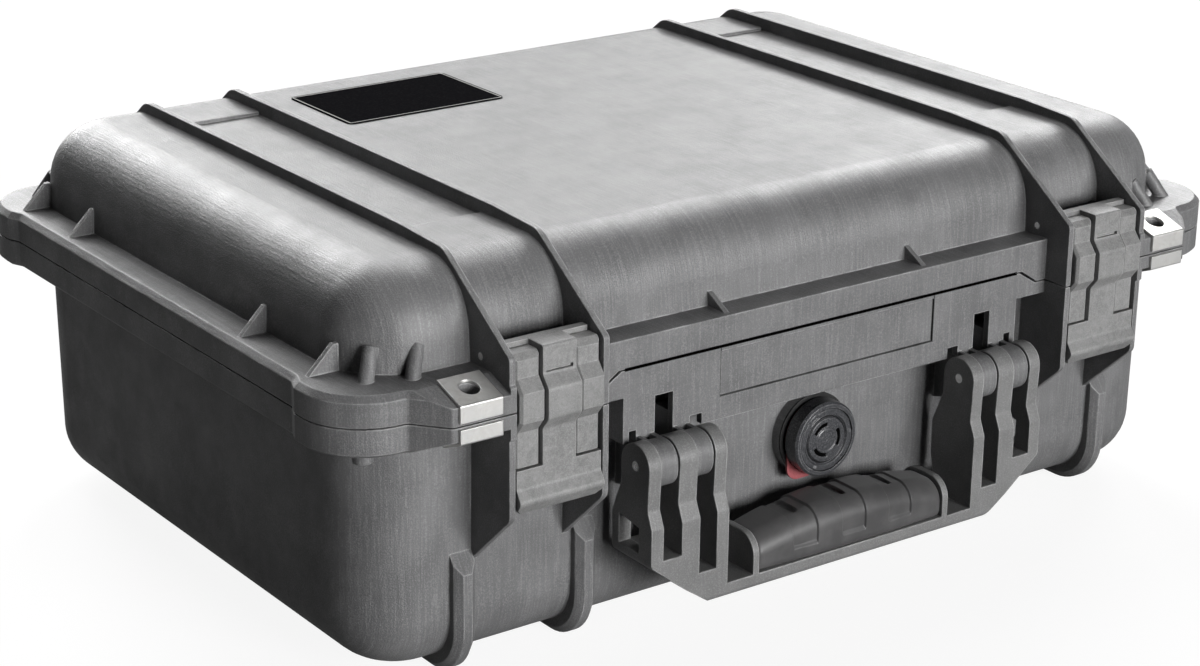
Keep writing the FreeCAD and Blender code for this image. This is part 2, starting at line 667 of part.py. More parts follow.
def lid_side_solids(side):
    """Latch ribs, dropped lip, gussets and corner bosses on one side of the lid."""
    solids = []
    deep, lip_back, low = wall_half_y - s.wall * 2, drop_back + s.seam_gap, drop_seam + s.seam_gap / 2
    heel = [(-lip_back, lid_bottom), (-lip_back, low), (-s.latch_rib_front, low)]
    for near, foot in ((s.latch_rib_inner, heel), (s.latch_rib_outer, [(-s.latch_rib_front, lid_bottom)])):
        start, end = span(side, near, near + s.latch_rib_width)
        top = s.lid_rib_top
        solids.append(slab("X", start, end, foot + [
            (-s.latch_rib_front, s.latch_rib_shoulder, s.latch_rib_round / 2),
            (-s.lid_rib_bend, top - s.lid_rib_dip, s.lid_rib_turn),
            (-s.lid_rib_flat, top, s.lid_rib_turn), (s.lid_rib_back, top, s.lid_rib_turn),
            (deep, top - s.lid_rib_fall), (deep, lid_ledge + s.wall), (-deep, lid_ledge + s.wall),
            (-deep, lid_bottom),
        ]))
    far, shift = s.latch_rib_inner + s.latch_rib_width, s.seam_gap
    solids.append(slab("Y", -rim_half_y, -lip_back, flip([
        (s.drop_start + shift, lid_bottom + s.seam_gap), (far, lid_bottom + s.seam_gap),
        (far, low), (s.drop_start + s.drop_run + shift, low),
    ], side)))
    ledge, wall_x = lid_ledge, wall_half_x - s.wall / 2
    for place in (-s.gusset_front, -s.gusset_middle, s.gusset_rear, s.gusset_front):
        solids.append(slab("Y", place - s.gusset_thick / 2, place + s.gusset_thick / 2, flip([
            (wall_x, ledge - s.wall), (wall_half_x + s.gusset_reach, ledge - s.wall),
            (wall_half_x + s.gusset_reach, ledge), (wall_half_x, ledge + s.gusset_height),
            (wall_x, ledge + s.gusset_height),
        ], side)))
    place = side * s.lip_gusset_x
    solids.append(slab("X", place - s.gusset_thick / 2, place + s.gusset_thick / 2, [
        (inside_front, ledge - s.wall), (-rim_half_y + s.lid_flange_round, ledge - s.wall),
        (-rim_half_y + s.lid_flange_round, ledge), (-wall_half_y, ledge + s.lip_gusset_height),
        (inside_front, ledge + s.lip_gusset_height),
    ]))
    for end in (-1, 1):
        for x, y in ((s.boss_side_x, s.boss_side_y), (s.boss_front_x, s.boss_front_y)):
            post = rod("Z", ledge - s.wall, ledge + s.boss_height, side * x, end * y, s.boss_radius)
            post.Placement.Rotation = FreeCAD.Rotation(Vector(-end, side, 0), -s.boss_lean.value)
            solids.append(post)
    return solids


def lid_side_tools(side):
    """The band's sunk middle, the latch pin holes, the lug's sloped top and padlock hole."""
    near, far = s.latch_rib_inner + s.latch_rib_width, s.latch_rib_outer
    low, high = span(side, near, far)
    band = slab("Z", s.lid_height - s.band_depth, s.lid_height + s.overrun, [
        (low, -s.band_front), (high, -s.band_front), (high, s.band_back), (low, s.band_back),
    ])
    low, high = span(side, s.latch_rib_inner - s.overrun, s.latch_rib_outer + s.latch_rib_width + s.overrun)
    pin = rod("X", low, high, -s.latch_pin_y, s.latch_pin_z, s.latch_pin / 2 + s.pin_play)
    low, high = span(side, s.latch_rib_outer + s.latch_rib_width, s.lug_outer + s.lug_flare)
    front = -(s.lug_front + s.overrun)
    nose = slab("X", low, high, [
        (-s.lock_plate_back, s.lug_lid_back), (-s.lug_front, s.lug_lid_front),
        (front, s.lug_lid_front), (front, lid_ledge + s.wall * 2),
        (-s.lock_plate_back, lid_ledge + s.wall * 2),
    ])
    hole = rod("Z", lid_bottom - s.overrun, lid_ledge + s.overrun,
               side * s.lock_hole_x, -s.lock_hole_y, s.lock_hole / 2)
    return [band, pin, nose, hole]


NAMES = {-1: "left", 1: "right"}


def around(middle, end, near, far):
    """The stretch from near to far on one side of a middle."""
    return (middle + near, middle + far) if end > 0 else (middle - far, middle - near)


def pin(label, low, high, y, z, diameter):
    """A steel pin that lies along X."""
    body = new_body(label)
    add_round(body, "X", low, high, y, z, diameter / 2)
    return body


def lid_seal():
    """A rounded cord laid along the middle of the lid's groove."""
    body = new_body("lid_seal")
    path = new_sketch(body, "Z", lid_bottom + s.groove_depth - s.seal_diameter / 2 - s.seal_seat)
    half_x, half_y = s.cavity_length / 2 + s.seal_offset, s.cavity_width / 2 + s.seal_offset
    draw_outline(path, box(half_x, half_y, s.seal_corner_radius))
    section = new_sketch(body, "X", ZERO)
    height = lid_bottom + s.groove_depth - s.seal_diameter / 2 - s.seal_seat
    half, side = s.seal_diameter / 2, s.seal_diameter / 5
    draw_outline(section, [
        (-half_y - half, height - side), (-half_y - side, height - half), (-half_y + side, height - half),
        (-half_y + half, height - side), (-half_y + half, height + side), (-half_y + side, height + half),
        (-half_y - side, height + half), (-half_y - half, height + side),
    ])
    pipe = body.newObject("PartDesign::AdditivePipe", "Pipe")
    pipe.Profile = section
    pipe.Spine = path
    body.Tip = pipe
    return body


def latch_hook(side):
    """The member that swings on the lid: cheeks, ears, a back plate and the hooked tip."""
    body = new_body(f"latch_hook_{NAMES[side]}")
    middle, half = side * s.latch_centre, s.latch_width / 2
    gap = s.latch_column / 2 + s.latch_play
    back, y, z, radius = -s.latch_back, -s.latch_pin_y, s.latch_pin_z, s.latch_ear_radius
    full = radius * 0.97
    for end in (-1, 1):
        low, high = around(middle, end, gap, half)
        add(body, "X", low, high, [
            (-s.hook_recess, s.hook_bottom), (-s.hook_recess, s.bulge_low - s.bulge_run),
            (-s.hook_face, s.bulge_low), (-s.hook_face, s.bulge_high),
            (-s.hook_recess, s.bulge_high + s.bulge_run), (-s.hook_recess, s.hook_top - s.latch_round),
            (-s.hook_recess + s.latch_round, s.hook_top), (-s.hook_notch, s.hook_top),
            (-s.hook_notch, s.hook_arm), (back, s.hook_arm), (back, s.hook_bottom),
        ])
    edges = [(middle + sign * reach).value for sign in (-1, 1) for reach in (gap, half)]
    front = -s.hook_recess.value + 0.01

    def on_face(b):
        return b.XLength < 0.01 and b.YMax < front and min(abs(b.XMin - x) for x in edges) < 0.01

    soften(body, "Chamfer", s.latch_soft, on_face)
    for end in (-1, 1):
        low, high = around(middle, end, half - s.ear_width, half)
        add(body, "X", low, high, [
            (-s.hook_notch, z - radius), (y + radius, z - radius, full),
            (y + radius, z + radius, full), (y - radius, z + radius, full),
            (y - radius, s.hook_arm), (-s.hook_notch, s.hook_arm),
        ])
    plate = back - s.hook_plate
    add(body, "X", middle - half, middle + half, [
        (plate, s.hook_bottom), (back, s.hook_bottom), (back, s.hook_tip_top - s.hook_tip_thick),
        (-s.hook_tip, s.hook_tip_top - s.hook_tip_thick, s.latch_soft),
        (-s.hook_tip, s.hook_tip_top, s.latch_soft), (back, s.hook_tip_top),
        (back, s.hook_plate_top), (plate, s.hook_plate_top),
    ])
    bore(body, "X", middle - half, middle + half, y, z, s.latch_pin / 2 + s.pin_play)
    bore(body, "X", middle - half, middle + half, -s.lever_pin_y, s.lever_pin_z, s.lever_pin / 2)
    return body


def latch_lever(side):
    """The lever between the cheeks: a bulged column, a finger lip and a strip at the top."""
    body = new_body(f"latch_lever_{NAMES[side]}")
    middle, half, column = side * s.latch_centre, s.latch_width / 2, s.latch_column / 2
    tab_top, strip_low = s.hook_bottom - s.latch_slit, s.lever_top - s.lever_strip
    front, back = -s.lever_recess, -s.lever_column_back
    add(body, "X", middle - half, middle + half, [
        (back, s.lever_bottom), (-s.lever_lip_foot, s.lever_bottom, s.latch_soft),
        (-s.lip_reach, s.lip_height, s.latch_round), (front, s.lip_height + s.bulge_run, s.latch_round),
        (front, tab_top), (back, tab_top),
    ])
    for sign in (-1, 1):
        end = middle + sign * half
        cut(body, "Y", -s.lip_reach - s.overrun, back + s.overrun, [
            (end + sign * s.overrun, s.lever_bottom - s.overrun),
            (end - sign * s.latch_round, s.lever_bottom - s.overrun),
            (end - sign * s.latch_round, s.lever_bottom), (end, s.lever_bottom + s.latch_round),
            (end + sign * s.overrun, s.lever_bottom + s.latch_round),
        ])
    add(body, "X", middle - column, middle + column, [
        (back, s.lever_bottom + s.latch_round), (front, s.lever_bottom + s.latch_round * 4),
        (front, s.bulge_low - s.bulge_run, s.latch_round), (-s.lever_face, s.bulge_low, s.latch_round),
        (-s.lever_face, s.bulge_high, s.latch_round),
        (front, s.bulge_high + s.bulge_run, s.latch_round), (front, s.lever_top, s.latch_soft),
        (-s.hook_notch + s.hook_plate, s.lever_top), (-s.hook_notch + s.hook_plate, strip_low),
        (back, strip_low),
    ])
    low = -s.hook_notch + s.latch_play
    add(body, "X", middle - half, middle + half, [
        (low, strip_low), (-s.lever_strip_back, strip_low),
        (-s.lever_strip_back, s.lever_top, s.latch_soft), (low, s.lever_top),
    ])
    cut(body, "Y", -s.lever_face, front + s.pull_slot_depth, [
        (middle - s.pull_slot_half, s.pull_slot_z), (middle + s.pull_slot_half, s.pull_slot_z),
        (middle + s.pull_slot_half, s.pull_slot_z + s.pull_slot_height),
        (middle - s.pull_slot_half, s.pull_slot_z + s.pull_slot_height),
    ])
    bore(body, "X", middle - half, middle + half, -s.lever_pin_y, s.lever_pin_z,
         s.lever_pin / 2 + s.pin_play)
    return body


def lock_plate(side, part, outline):
    """A folded stainless plate over the padlock lug, with the hole through it."""
    low, high = span(side, s.lock_hole_x - s.lock_plate_width / 2, s.lock_hole_x + s.lock_plate_width / 2)
    body = new_body(f"lock_plate_{part}_{NAMES[side]}")
    add(body, "X", low, high, outline)
    bore(body, "Z", base_ledge - s.overrun, lid_ledge + s.overrun,
         side * s.lock_hole_x, -s.lock_hole_y, s.lock_hole / 2)
    return body


def lock_plate_lid(side):
    front, seat, thick = s.lug_front + s.lock_plate_seat, s.lock_plate_seat, s.lock_plate_thick
    foot = s.lug_lid_front - s.lock_plate_lip
    return lock_plate(side, "lid", [
        (-s.lock_plate_back, s.lug_lid_back + seat), (-front, s.lug_lid_front + seat),
        (-front, foot), (-front - thick, foot),
        (-front - thick, s.lug_lid_front + seat + thick * 0.7, s.plate_fold),
        (-s.lock_plate_back, s.lug_lid_back + seat + thick),
    ])


def lock_plate_base(side):
    front, seat, thick = s.lug_front + s.lock_plate_seat, s.lock_plate_seat, s.lock_plate_thick
    fall = (s.lug_nose - base_ledge) * (s.lug_front - s.base_plate_back) / (s.lug_front - rim_half_y)
    top, end = base_top - s.seam_gap, s.lug_nose - fall - seat
    return lock_plate(side, "base", [
        (-front, top), (-front, s.lug_nose - seat), (-s.base_plate_back, end),
        (-s.base_plate_back, end - thick), (-front - thick, s.lug_nose - seat - thick * 0.7, s.plate_fold),
        (-front - thick, top),
    ])


def handle_frame():
    """The handle: three prongs a side, arms, the bottom bar, the grip's core and its collars."""
    y, z, radius = -s.handle_pin_y, s.handle_pin_z, s.head_radius
    front, bottom = -(s.arm_front + s.arm_jog), s.handle_bottom
    full, top = radius * 0.97, z + radius + s.overrun
    solids, tools = [], []
    for side in (-1, 1):
        low, high = span(side, s.ear_inner, s.ear_outer)
        profile = slab("X", low, high, [
            (front, bottom, s.handle_round), (front, s.arm_jog_low, s.handle_round),
            (-s.arm_front, s.arm_jog_top, s.handle_round), (y - radius, z),
            (y - radius, z + radius, full), (y + radius, z + radius, full),
            (y + radius, s.arm_back_top), (-s.arm_back, s.arm_back_flare, s.handle_round),
            (-s.arm_back, s.arm_back_low, s.handle_round), (-s.arm_foot_back, bottom),
        ])
        face = slab("Y", front - s.overrun, y + radius * 2, flip([
            (s.ear_inner, bottom), (s.chamfer_end_x, bottom, s.handle_round),
            (s.chamfer_mid_x, bottom + s.chamfer_mid_rise, s.handle_round),
            (s.ear_outer, bottom + s.chamfer_height, s.handle_round), (s.ear_outer, top),
            (s.knuckle_outer, top), (s.knuckle_outer, s.slot_outer_bottom), (s.prong_outer, s.slot_outer_bottom),
            (s.prong_outer, top), (s.prong_inner, top), (s.prong_inner, s.slot_inner_bottom),
            (s.knuckle_inner, s.slot_inner_bottom), (s.knuckle_inner, top), (s.ear_inner, top),
        ], side))
        arm = doc.addObject("Part::MultiCommon", "Arm")
        arm.Shapes = [profile, face]
        solids.append(arm)
        low, high = span(side, s.grip_half + s.prong_gap / 2, s.grip_half + s.collar_width)
        solids.append(slab("X", low, high, [
            (front, bottom + s.handle_round), (front, s.grip_end_top + s.collar_rim, s.grip_round),
            (-s.grip_back + s.collar_rim, s.grip_end_top + s.collar_rim, s.grip_round),
            (-s.grip_back + s.collar_rim, s.bar_top, s.handle_round), (-s.bar_back, bottom + s.handle_round),
        ]))
        low, high = span(side, s.knuckle_outer, s.ear_outer + s.overrun)
        tools.append(slab("X", low, high, [
            (-s.ear_window_front, s.ear_window_bottom), (-s.ear_window_back, s.ear_window_bottom),
            (-s.ear_window_back, s.ear_window_top), (-s.ear_window_front, s.ear_window_top - s.overrun),
        ]))
        low, high = span(side, s.ear_inner - s.overrun, s.ear_outer + s.overrun)
        tools.append(rod("X", low, high, y, z, s.handle_pin / 2))
    reach = s.ear_inner + s.overrun
    solids.append(slab("X", -reach, reach, [
        (front, bottom, s.handle_round), (-s.bar_back, bottom, s.handle_round),
        (-s.bar_back, s.bar_top), (front, s.bar_top),
    ]))
    reach = s.grip_half + s.collar_width / 2
    solids.append(slab("X", -reach, reach, grip_core(ZERO)))
    return combine("handle_frame", solids, tools)


def grip_core(seat):
    """The outline of the handle's core inside the grip, or of the grip's hollow for it."""
    return [
        (-s.core_front - seat, s.bar_top - s.overrun), (-s.core_front - seat, s.core_top + seat),
        (-s.core_back + seat, s.core_top + seat), (-s.core_back + seat, s.bar_top - s.overrun),
    ]


def grip_section(swell, depth=ZERO):
    """The grip cut across: swell runs from 0 at the ends to 1 in the middle."""
    front = -s.grip_front - s.grip_swell * swell + depth
    back = -s.grip_back + s.grip_swell * swell - depth
    top = s.grip_end_top + (s.grip_mid_top - s.grip_end_top) * swell - depth
    return [
        (front, s.bar_top + s.grip_seat, s.grip_low_round), (front, top, s.grip_round),
        (back, top, s.grip_round), (back, s.bar_top + s.grip_seat, s.grip_low_round),
    ]


def handle_grip():
    """A rubber grip that swells in the middle, with finger grooves round it."""
    swells = ((-1, 0), (-0.5, 0.75), (0, 1), (0.5, 0.75), (1, 0))
    body = new_body("grip_blank")
    loft(body, "X", [(s.grip_half * place, grip_section(swell)) for place, swell in swells])
    tools = [slab("X", -s.grip_half - s.overrun, s.grip_half + s.overrun, grip_core(s.grip_seat))]
    reach = s.grip_mid_top
    for turn in (-1.5, -0.5, 0.5, 1.5):
        middle = s.grip_groove_pitch * turn
        share = 1 - (middle.value / s.grip_half.value) ** 2
        tools.append(slab("X", middle - s.grip_groove / 2, middle + s.grip_groove / 2, [
            (-s.grip_front - reach, s.bar_top - s.overrun), (-s.grip_back + reach, s.bar_top - s.overrun),
            (-s.grip_back + reach, reach * 2), (-s.grip_front - reach, reach * 2),
        ], grip_section(share, s.grip_groove_depth)))
    return combine("handle_grip", [body], tools)


def valve_body():
    """A round cap outside the wall on a shank that reaches through it."""
    body = new_body("valve_body")
    face, seat = -s.valve_face, -s.valve_land - s.valve_seal_thick
    add_round(body, "Y", face, seat, ZERO, s.valve_z, s.valve_radius)
    soften(body, "Chamfer", s.valve_round, lambda b: abs(b.YMin - face.value) < 0.01)
    add_round(body, "Y", seat, nut_face + s.nut_thick, ZERO, s.valve_z, s.valve_shank)
    bore(body, "Y", face, face + s.valve_bezel_depth, ZERO, s.valve_z, s.valve_radius - s.valve_bezel)
    bore(body, "Y", face + s.valve_cap, nut_face + s.nut_thick, ZERO, s.valve_z, s.valve_bore)
    return body


def valve_seal():
    """A washer between the cap and the wall, with a bare tab below it on the left."""
    body = new_body("valve_seal")
    back, front = -s.valve_land, -s.valve_land - s.valve_seal_thick
    add_round(body, "Y", front, back, ZERO, s.valve_z, s.valve_seal_radius)
    half = s.valve_tab_width / 2
    add(body, "Y", front, back, [
        (-s.valve_tab_x - half, s.valve_z - s.valve_tab_drop, s.latch_round),
        (-s.valve_tab_x + half, s.valve_z - s.valve_tab_drop, s.latch_round),
        (-s.valve_tab_x + half, s.valve_z - s.valve_tab_width / 2),
        (-s.valve_tab_x - half, s.valve_z - s.valve_tab_width / 2),
    ])
    bore(body, "Y", front, back, ZERO, s.valve_z, s.valve_shank + s.valve_hole_play)
    return body


def valve_nut():
    """A hexagon nut on the shank inside the case."""
    body = new_body("valve_nut")
    flat, corner = s.nut_across / 2, s.nut_across / math.sqrt(3)
    z = s.valve_z
    add(body, "Y", nut_face, nut_face + s.nut_thick, [
        (corner, z), (corner / 2, z + flat), (-corner / 2, z + flat),
        (-corner, z), (-corner / 2, z - flat), (corner / 2, z - flat),
    ])
    bore(body, "Y", nut_face, nut_face + s.nut_thick, ZERO, z, s.valve_shank + s.valve_thread_play)
    return body


def vent_disc():
    body = new_body("vent_disc")
    low = -s.valve_face + s.valve_cap + s.valve_seat
    add_round(body, "Y", low, low + s.vent_thick, ZERO, s.valve_z, s.valve_bore - s.valve_thread_play)
    return body


def lid_label():
    body = new_body("lid_label")
    half_x, half_y = s.label_length / 2, s.label_width / 2
    add(body, "Z", s.lid_height, s.lid_height + s.label_thick, [
        (-s.label_x - half_x, s.label_y - half_y, s.label_round),
        (-s.label_x + half_x, s.label_y - half_y, s.label_round),
        (-s.label_x + half_x, s.label_y + half_y, s.label_round),
        (-s.label_x - half_x, s.label_y + half_y, s.label_round),
    ])
    return body


pieces = [base_shell(), lid_shell(), lid_seal(), handle_frame(), handle_grip(),
          valve_body(), valve_seal(), valve_nut(), vent_disc(), lid_label()]
for side, name in NAMES.items():
    half = s.hinge_width / 2
    pieces.append(pin(f"hinge_pin_{name}", *around(side * s.hinge_centre, 1, -half, half),
                      s.hinge_y, seam, s.hinge_pin))
    low, high = span(side, s.latch_rib_inner, s.latch_rib_outer + s.latch_rib_width)
    pieces.append(pin(f"latch_pin_{name}", low, high, -s.latch_pin_y, s.latch_pin_z, s.latch_pin))
    half = s.latch_width / 2 - s.seam_gap / 2
    pieces.append(pin(f"lever_pin_{name}", *around(side * s.latch_centre, 1, -half, half),
                      -s.lever_pin_y, s.lever_pin_z, s.lever_pin))
    low, high = span(side, s.ear_inner, s.ear_outer)
    pieces.append(pin(f"handle_pin_{name}", low, high, -s.handle_pin_y, s.handle_pin_z, s.handle_pin))
    pieces += [latch_hook(side), latch_lever(side), lock_plate_lid(side), lock_plate_base(side)]

doc.recompute()

for item in doc.Objects:
    if "Invalid" in item.State or "Error" in item.State:
        raise RuntimeError(f"{item.Label} failed: {item.State}")

os.makedirs("parts", exist_ok=True)
for piece in pieces:
    shape = piece.Shape
    if shape.isNull() or not shape.isValid() or len(shape.Solids) != 1:
        raise RuntimeError(f"{piece.Label} is not one valid solid")
    shape.exportStep(f"parts/{piece.Label}.step")
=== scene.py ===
import math
from functools import partial

import bpy
from mathutils import Matrix, Vector


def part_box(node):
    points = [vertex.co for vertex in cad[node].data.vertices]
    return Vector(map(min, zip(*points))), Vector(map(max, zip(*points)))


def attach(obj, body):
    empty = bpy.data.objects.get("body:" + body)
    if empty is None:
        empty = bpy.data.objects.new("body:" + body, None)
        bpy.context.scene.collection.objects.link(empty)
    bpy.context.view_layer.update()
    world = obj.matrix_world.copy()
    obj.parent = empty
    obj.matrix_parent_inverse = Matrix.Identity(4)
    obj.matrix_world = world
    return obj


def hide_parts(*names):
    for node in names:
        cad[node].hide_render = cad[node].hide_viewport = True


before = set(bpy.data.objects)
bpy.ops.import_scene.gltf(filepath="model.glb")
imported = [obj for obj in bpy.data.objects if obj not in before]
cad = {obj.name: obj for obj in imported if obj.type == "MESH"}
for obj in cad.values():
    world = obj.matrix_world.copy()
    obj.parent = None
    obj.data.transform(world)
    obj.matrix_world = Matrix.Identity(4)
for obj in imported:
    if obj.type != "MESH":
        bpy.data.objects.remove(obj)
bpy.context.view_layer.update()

# The case: a base tub and a lid, deep injection mouldings of dark grey filled polypropylene.
# Their satin skin has the tool's fine orange peel and light scuffs from handling, paler on the
# edges partly as painted highlight. Painted shade darkens the seam at the front, the edge of the
# sunk name plate and the land under the valve's cap.

SEAM_HEIGHT, SEAM_HALF, SEAM_FADE, BAY_START = 0.1214, 0.0006, 0.00084, 0.1055
PLATE_HALF, PLATE_BOTTOM, FRONT_WALL = 0.0574, 0.1, -0.155
BORDER_HALF, BORDER_FADE, BORDER_SHARE = 0.00018, 0.00048, 0.8
VALVE_HEIGHT, LAND_RADIUS, LAND_FADE, LAND_FRONT, LAND_SHARE = 0.068, 0.019, 0.01995, -0.1507, 0.85
PAINTED_SHADE_TONE = (0.003, 0.003, 0.003)
SATIN_SWING, RUB_DULLS, FLECK_SHARE = 0.05, 0.08, 0.36


def node(tree, kind, inputs=(), **settings):
    """A node with its settings made, its values set and its links laid."""
    made = tree.nodes.new(kind)
    for key, value in settings.items():
        setattr(made, key, value)
    for key, value in dict(inputs).items():
        if isinstance(value, bpy.types.NodeSocket):
            tree.links.new(value, made.inputs[key])
        else:
            made.inputs[key].default_value = value
    return made


def math_node(tree, operation, *values):
    return node(tree, "ShaderNodeMath", enumerate(values), operation=operation).outputs[0]


def remap(tree, value, low, high, to_low=0.0, to_high=1.0):
    inputs = {"Value": value, "From Min": low, "From Max": high,
              "To Min": to_low, "To Max": to_high}
    return node(tree, "ShaderNodeMapRange", inputs).outputs["Result"]


def noise(tree, place, scale, detail, roughness=0.5, distortion=0.0):
    inputs = {"Vector": place, "Scale": scale, "Detail": detail, "Roughness": roughness,
              "Distortion": distortion}
    return node(tree, "ShaderNodeTexNoise", inputs).outputs[0]


def blend(tree, share, first, second):
    """A colour between two colours, each one a socket or plain numbers."""
    mixed = node(tree, "ShaderNodeMix", data_type="RGBA")
    for place, value in ((0, share), (6, first), (7, second)):
        if isinstance(value, bpy.types.NodeSocket):
            tree.links.new(value, mixed.inputs[place])
        else:
            mixed.inputs[place].default_value = value if place == 0 else (*value, 1)
    return mixed.outputs[2]


def relief(tree, height, depth, normal=None):
    """The shading of a bump, on top of another normal where there is one."""
    bump = node(tree, "ShaderNodeBump", {"Height": height, "Distance": depth})
    if normal is not None:
        tree.links.new(normal, bump.inputs["Normal"])
    return bump.outputs[0]


def effect(name, inputs, outputs):
    """A shader node group with named inputs and outputs."""
    group = bpy.data.node_groups.new(name, "ShaderNodeTree")
    for label, value in inputs.items():
        kind = "NodeSocketVector" if value is None else "NodeSocketFloat"
        made = group.interface.new_socket(name=label, in_out="INPUT", socket_type=kind)
        if value is not None:
            made.default_value = value
    for label, kind in outputs.items():
        group.interface.new_socket(name=label, in_out="OUTPUT", socket_type=kind)
    return group, node(group, "NodeGroupInput").outputs, node(group, "NodeGroupOutput").inputs


def mould_grain():
    """The skin of a moulding: orange peel, fine drag lines and slow drifts of tone."""
    group, given, out = effect("mould_grain", {"Position": None, "Size": 0.001, "Drag": 0.3},
                               {"Height": "NodeSocketFloat", "Drift": "NodeSocketFloat"})
    place = given["Position"]
    scale = math_node(group, "DIVIDE", 1.0, given["Size"])
    peel = noise(group, place, scale, 3.0, 0.6)
    drawn = node(group, "ShaderNodeMapping", {"Vector": place, "Rotation": (0.0, 0.0, 0.06),
                                              "Scale": (0.6, 0.025, 0.025)})
    lines = noise(group, drawn.outputs[0], scale, 2.0, 0.7)
    mixed = node(group, "ShaderNodeMix", {0: given["Drag"], 2: peel, 3: lines}, data_type="FLOAT")
    drift = noise(group, place, math_node(group, "DIVIDE", scale, 38.0), 4.0, 0.62)
    group.links.new(mixed.outputs[0], out["Height"])
    group.links.new(drift, out["Drift"])
    return group


def edge_rub_and_highlight():
    """Rounds the shading over edges and marks them for pale rub and a painted highlight along them.
    """
    group, given, out = effect("edge_rub_and_highlight", {"Position": None, "Radius": 0.0008, "Patch": 0.02},
                               {"Normal": "NodeSocketVector", "RubAndHighlight": "NodeSocketFloat"})
    rounded = node(group, "ShaderNodeBevel", {"Radius": given["Radius"]}, samples=6).outputs[0]
    flat = node(group, "ShaderNodeNewGeometry").outputs["Normal"]
    along = node(group, "ShaderNodeVectorMath", {0: rounded, 1: flat}, operation="DOT_PRODUCT")
    bent = math_node(group, "SUBTRACT", 1.0, along.outputs["Value"])
    patches = math_node(group, "DIVIDE", 1.0, given["Patch"])
    patchy = remap(group, noise(group, given["Position"], patches, 5.0, 0.7), 0.34, 0.6)
    rub_and_highlight = math_node(group, "MULTIPLY", remap(group, bent, 0.01, 0.1), patchy)
    group.links.new(rounded, out["Normal"])
    group.links.new(rub_and_highlight, out["RubAndHighlight"])
    return group


GRAIN, EDGES = mould_grain(), edge_rub_and_highlight()


def new_finish(name):
    """A material, its node tree and its shader."""
    material = bpy.data.materials.new(name)
    material.use_nodes = True
    return material, material.node_tree, material.node_tree.nodes["Principled BSDF"]


def object_place(tree):
    return node(tree, "ShaderNodeTexCoord").outputs["Object"]


def lay_finish(tree, shader, tone, roughness, normal):
    for label, value in (("Base Color", tone), ("Roughness", roughness), ("Normal", normal)):
        tree.links.new(value, shader.inputs[label])


def moulded(name, dark, pale, rubbed_and_highlit, roughness, grain, drag, depth, edge, patch):
    """A satin moulded plastic. Dark and pale are the ends of its slow drifts of tone."""
    material, tree, shader = new_finish(name)
    place = object_place(tree)
    skin = node(tree, "ShaderNodeGroup", {"Position": place, "Size": grain, "Drag": drag},
                node_tree=GRAIN).outputs
    worn_and_lit = node(tree, "ShaderNodeGroup", {"Position": place, "Radius": edge, "Patch": patch},
                node_tree=EDGES).outputs
    tone = blend(tree, remap(tree, skin["Drift"], 0.35, 0.65), dark, pale)
    fleck = remap(tree, skin["Height"], 0.48, 0.7, to_high=FLECK_SHARE)
    # The edges go pale: partly rub, partly a painted highlight.
    tone = blend(tree, worn_and_lit["RubAndHighlight"], blend(tree, fleck, tone, rubbed_and_highlit), rubbed_and_highlit)
    satin = remap(tree, skin["Drift"], 0.3, 0.7, roughness + SATIN_SWING, roughness - SATIN_SWING)
    dulled = math_node(tree, "MULTIPLY", worn_and_lit["RubAndHighlight"], RUB_DULLS)
    lay_finish(tree, shader, tone, math_node(tree, "ADD", satin, dulled),
               relief(tree, skin["Height"], depth, worn_and_lit["Normal"]))
    return material, tree, shader


def paint_shade(tree, shader, share, tone):
    """Paints shade into a finish by a mask: a darker colour, and its shine taken away there."""
    plain = shader.inputs["Base Color"].links[0].from_socket
    tree.links.new(blend(tree, share, plain, tone), shader.inputs["Base Color"])
    shine = shader.inputs["Specular IOR Level"]
    tree.links.new(remap(tree, share, 0.0, 1.0, shine.default_value, 0.0), shine)


def wear_finish(material, *names):
    for name in names:
        for place in cad[name].material_slots:
            place.material = material


def object_axes(tree):
    return node(tree, "ShaderNodeSeparateXYZ", {0: object_place(tree)}).outputs


def from_valve_axis(tree, x, z):
    """A point's height over the valve's axis, and its distance from the axis."""
    calc = partial(math_node, tree)
    rise = calc("SUBTRACT", z, VALVE_HEIGHT)
    squares = calc("ADD", calc("MULTIPLY", x, x), calc("MULTIPLY", rise, rise))
    return rise, calc("SQRT", squares)


def front_painted_shade(tree):
    """Painted shade in the seam, at the name plate's edge and under the valve's cap, from 0 to 1.
    """
    calc = partial(math_node, tree)
    x, y, z = object_axes(tree)
    aside = calc("ABSOLUTE", x)
    from_seam = calc("ABSOLUTE", calc("SUBTRACT", z, SEAM_HEIGHT))
    seam = calc("MULTIPLY", remap(tree, from_seam, SEAM_HALF, SEAM_FADE, 1.0, 0.0),
                calc("LESS_THAN", aside, BAY_START))
    from_border = calc("ABSOLUTE", calc("MINIMUM", calc("SUBTRACT", PLATE_HALF, aside),
                                        calc("SUBTRACT", z, PLATE_BOTTOM)))
    border = calc("MULTIPLY", remap(tree, from_border, BORDER_HALF, BORDER_FADE, BORDER_SHARE, 0.0),
                  calc("LESS_THAN", z, SEAM_HEIGHT))
    front = calc("MULTIPLY", calc("MAXIMUM", seam, border), calc("LESS_THAN", y, FRONT_WALL))
    from_valve = from_valve_axis(tree, x, z)[1]
    under_cap = calc("MULTIPLY", remap(tree, from_valve, LAND_RADIUS, LAND_FADE, LAND_SHARE, 0.0),
                     calc("LESS_THAN", y, LAND_FRONT))
    return calc("MAXIMUM", front, under_cap)


case_plastic, tree, shader = moulded(
    "case_plastic", dark=(0.1, 0.1, 0.102), pale=(0.14, 0.14, 0.142), rubbed_and_highlit=(0.4, 0.4, 0.4),
    roughness=0.42, grain=0.0006, drag=0.4, depth=0.00034, edge=0.001, patch=0.012)
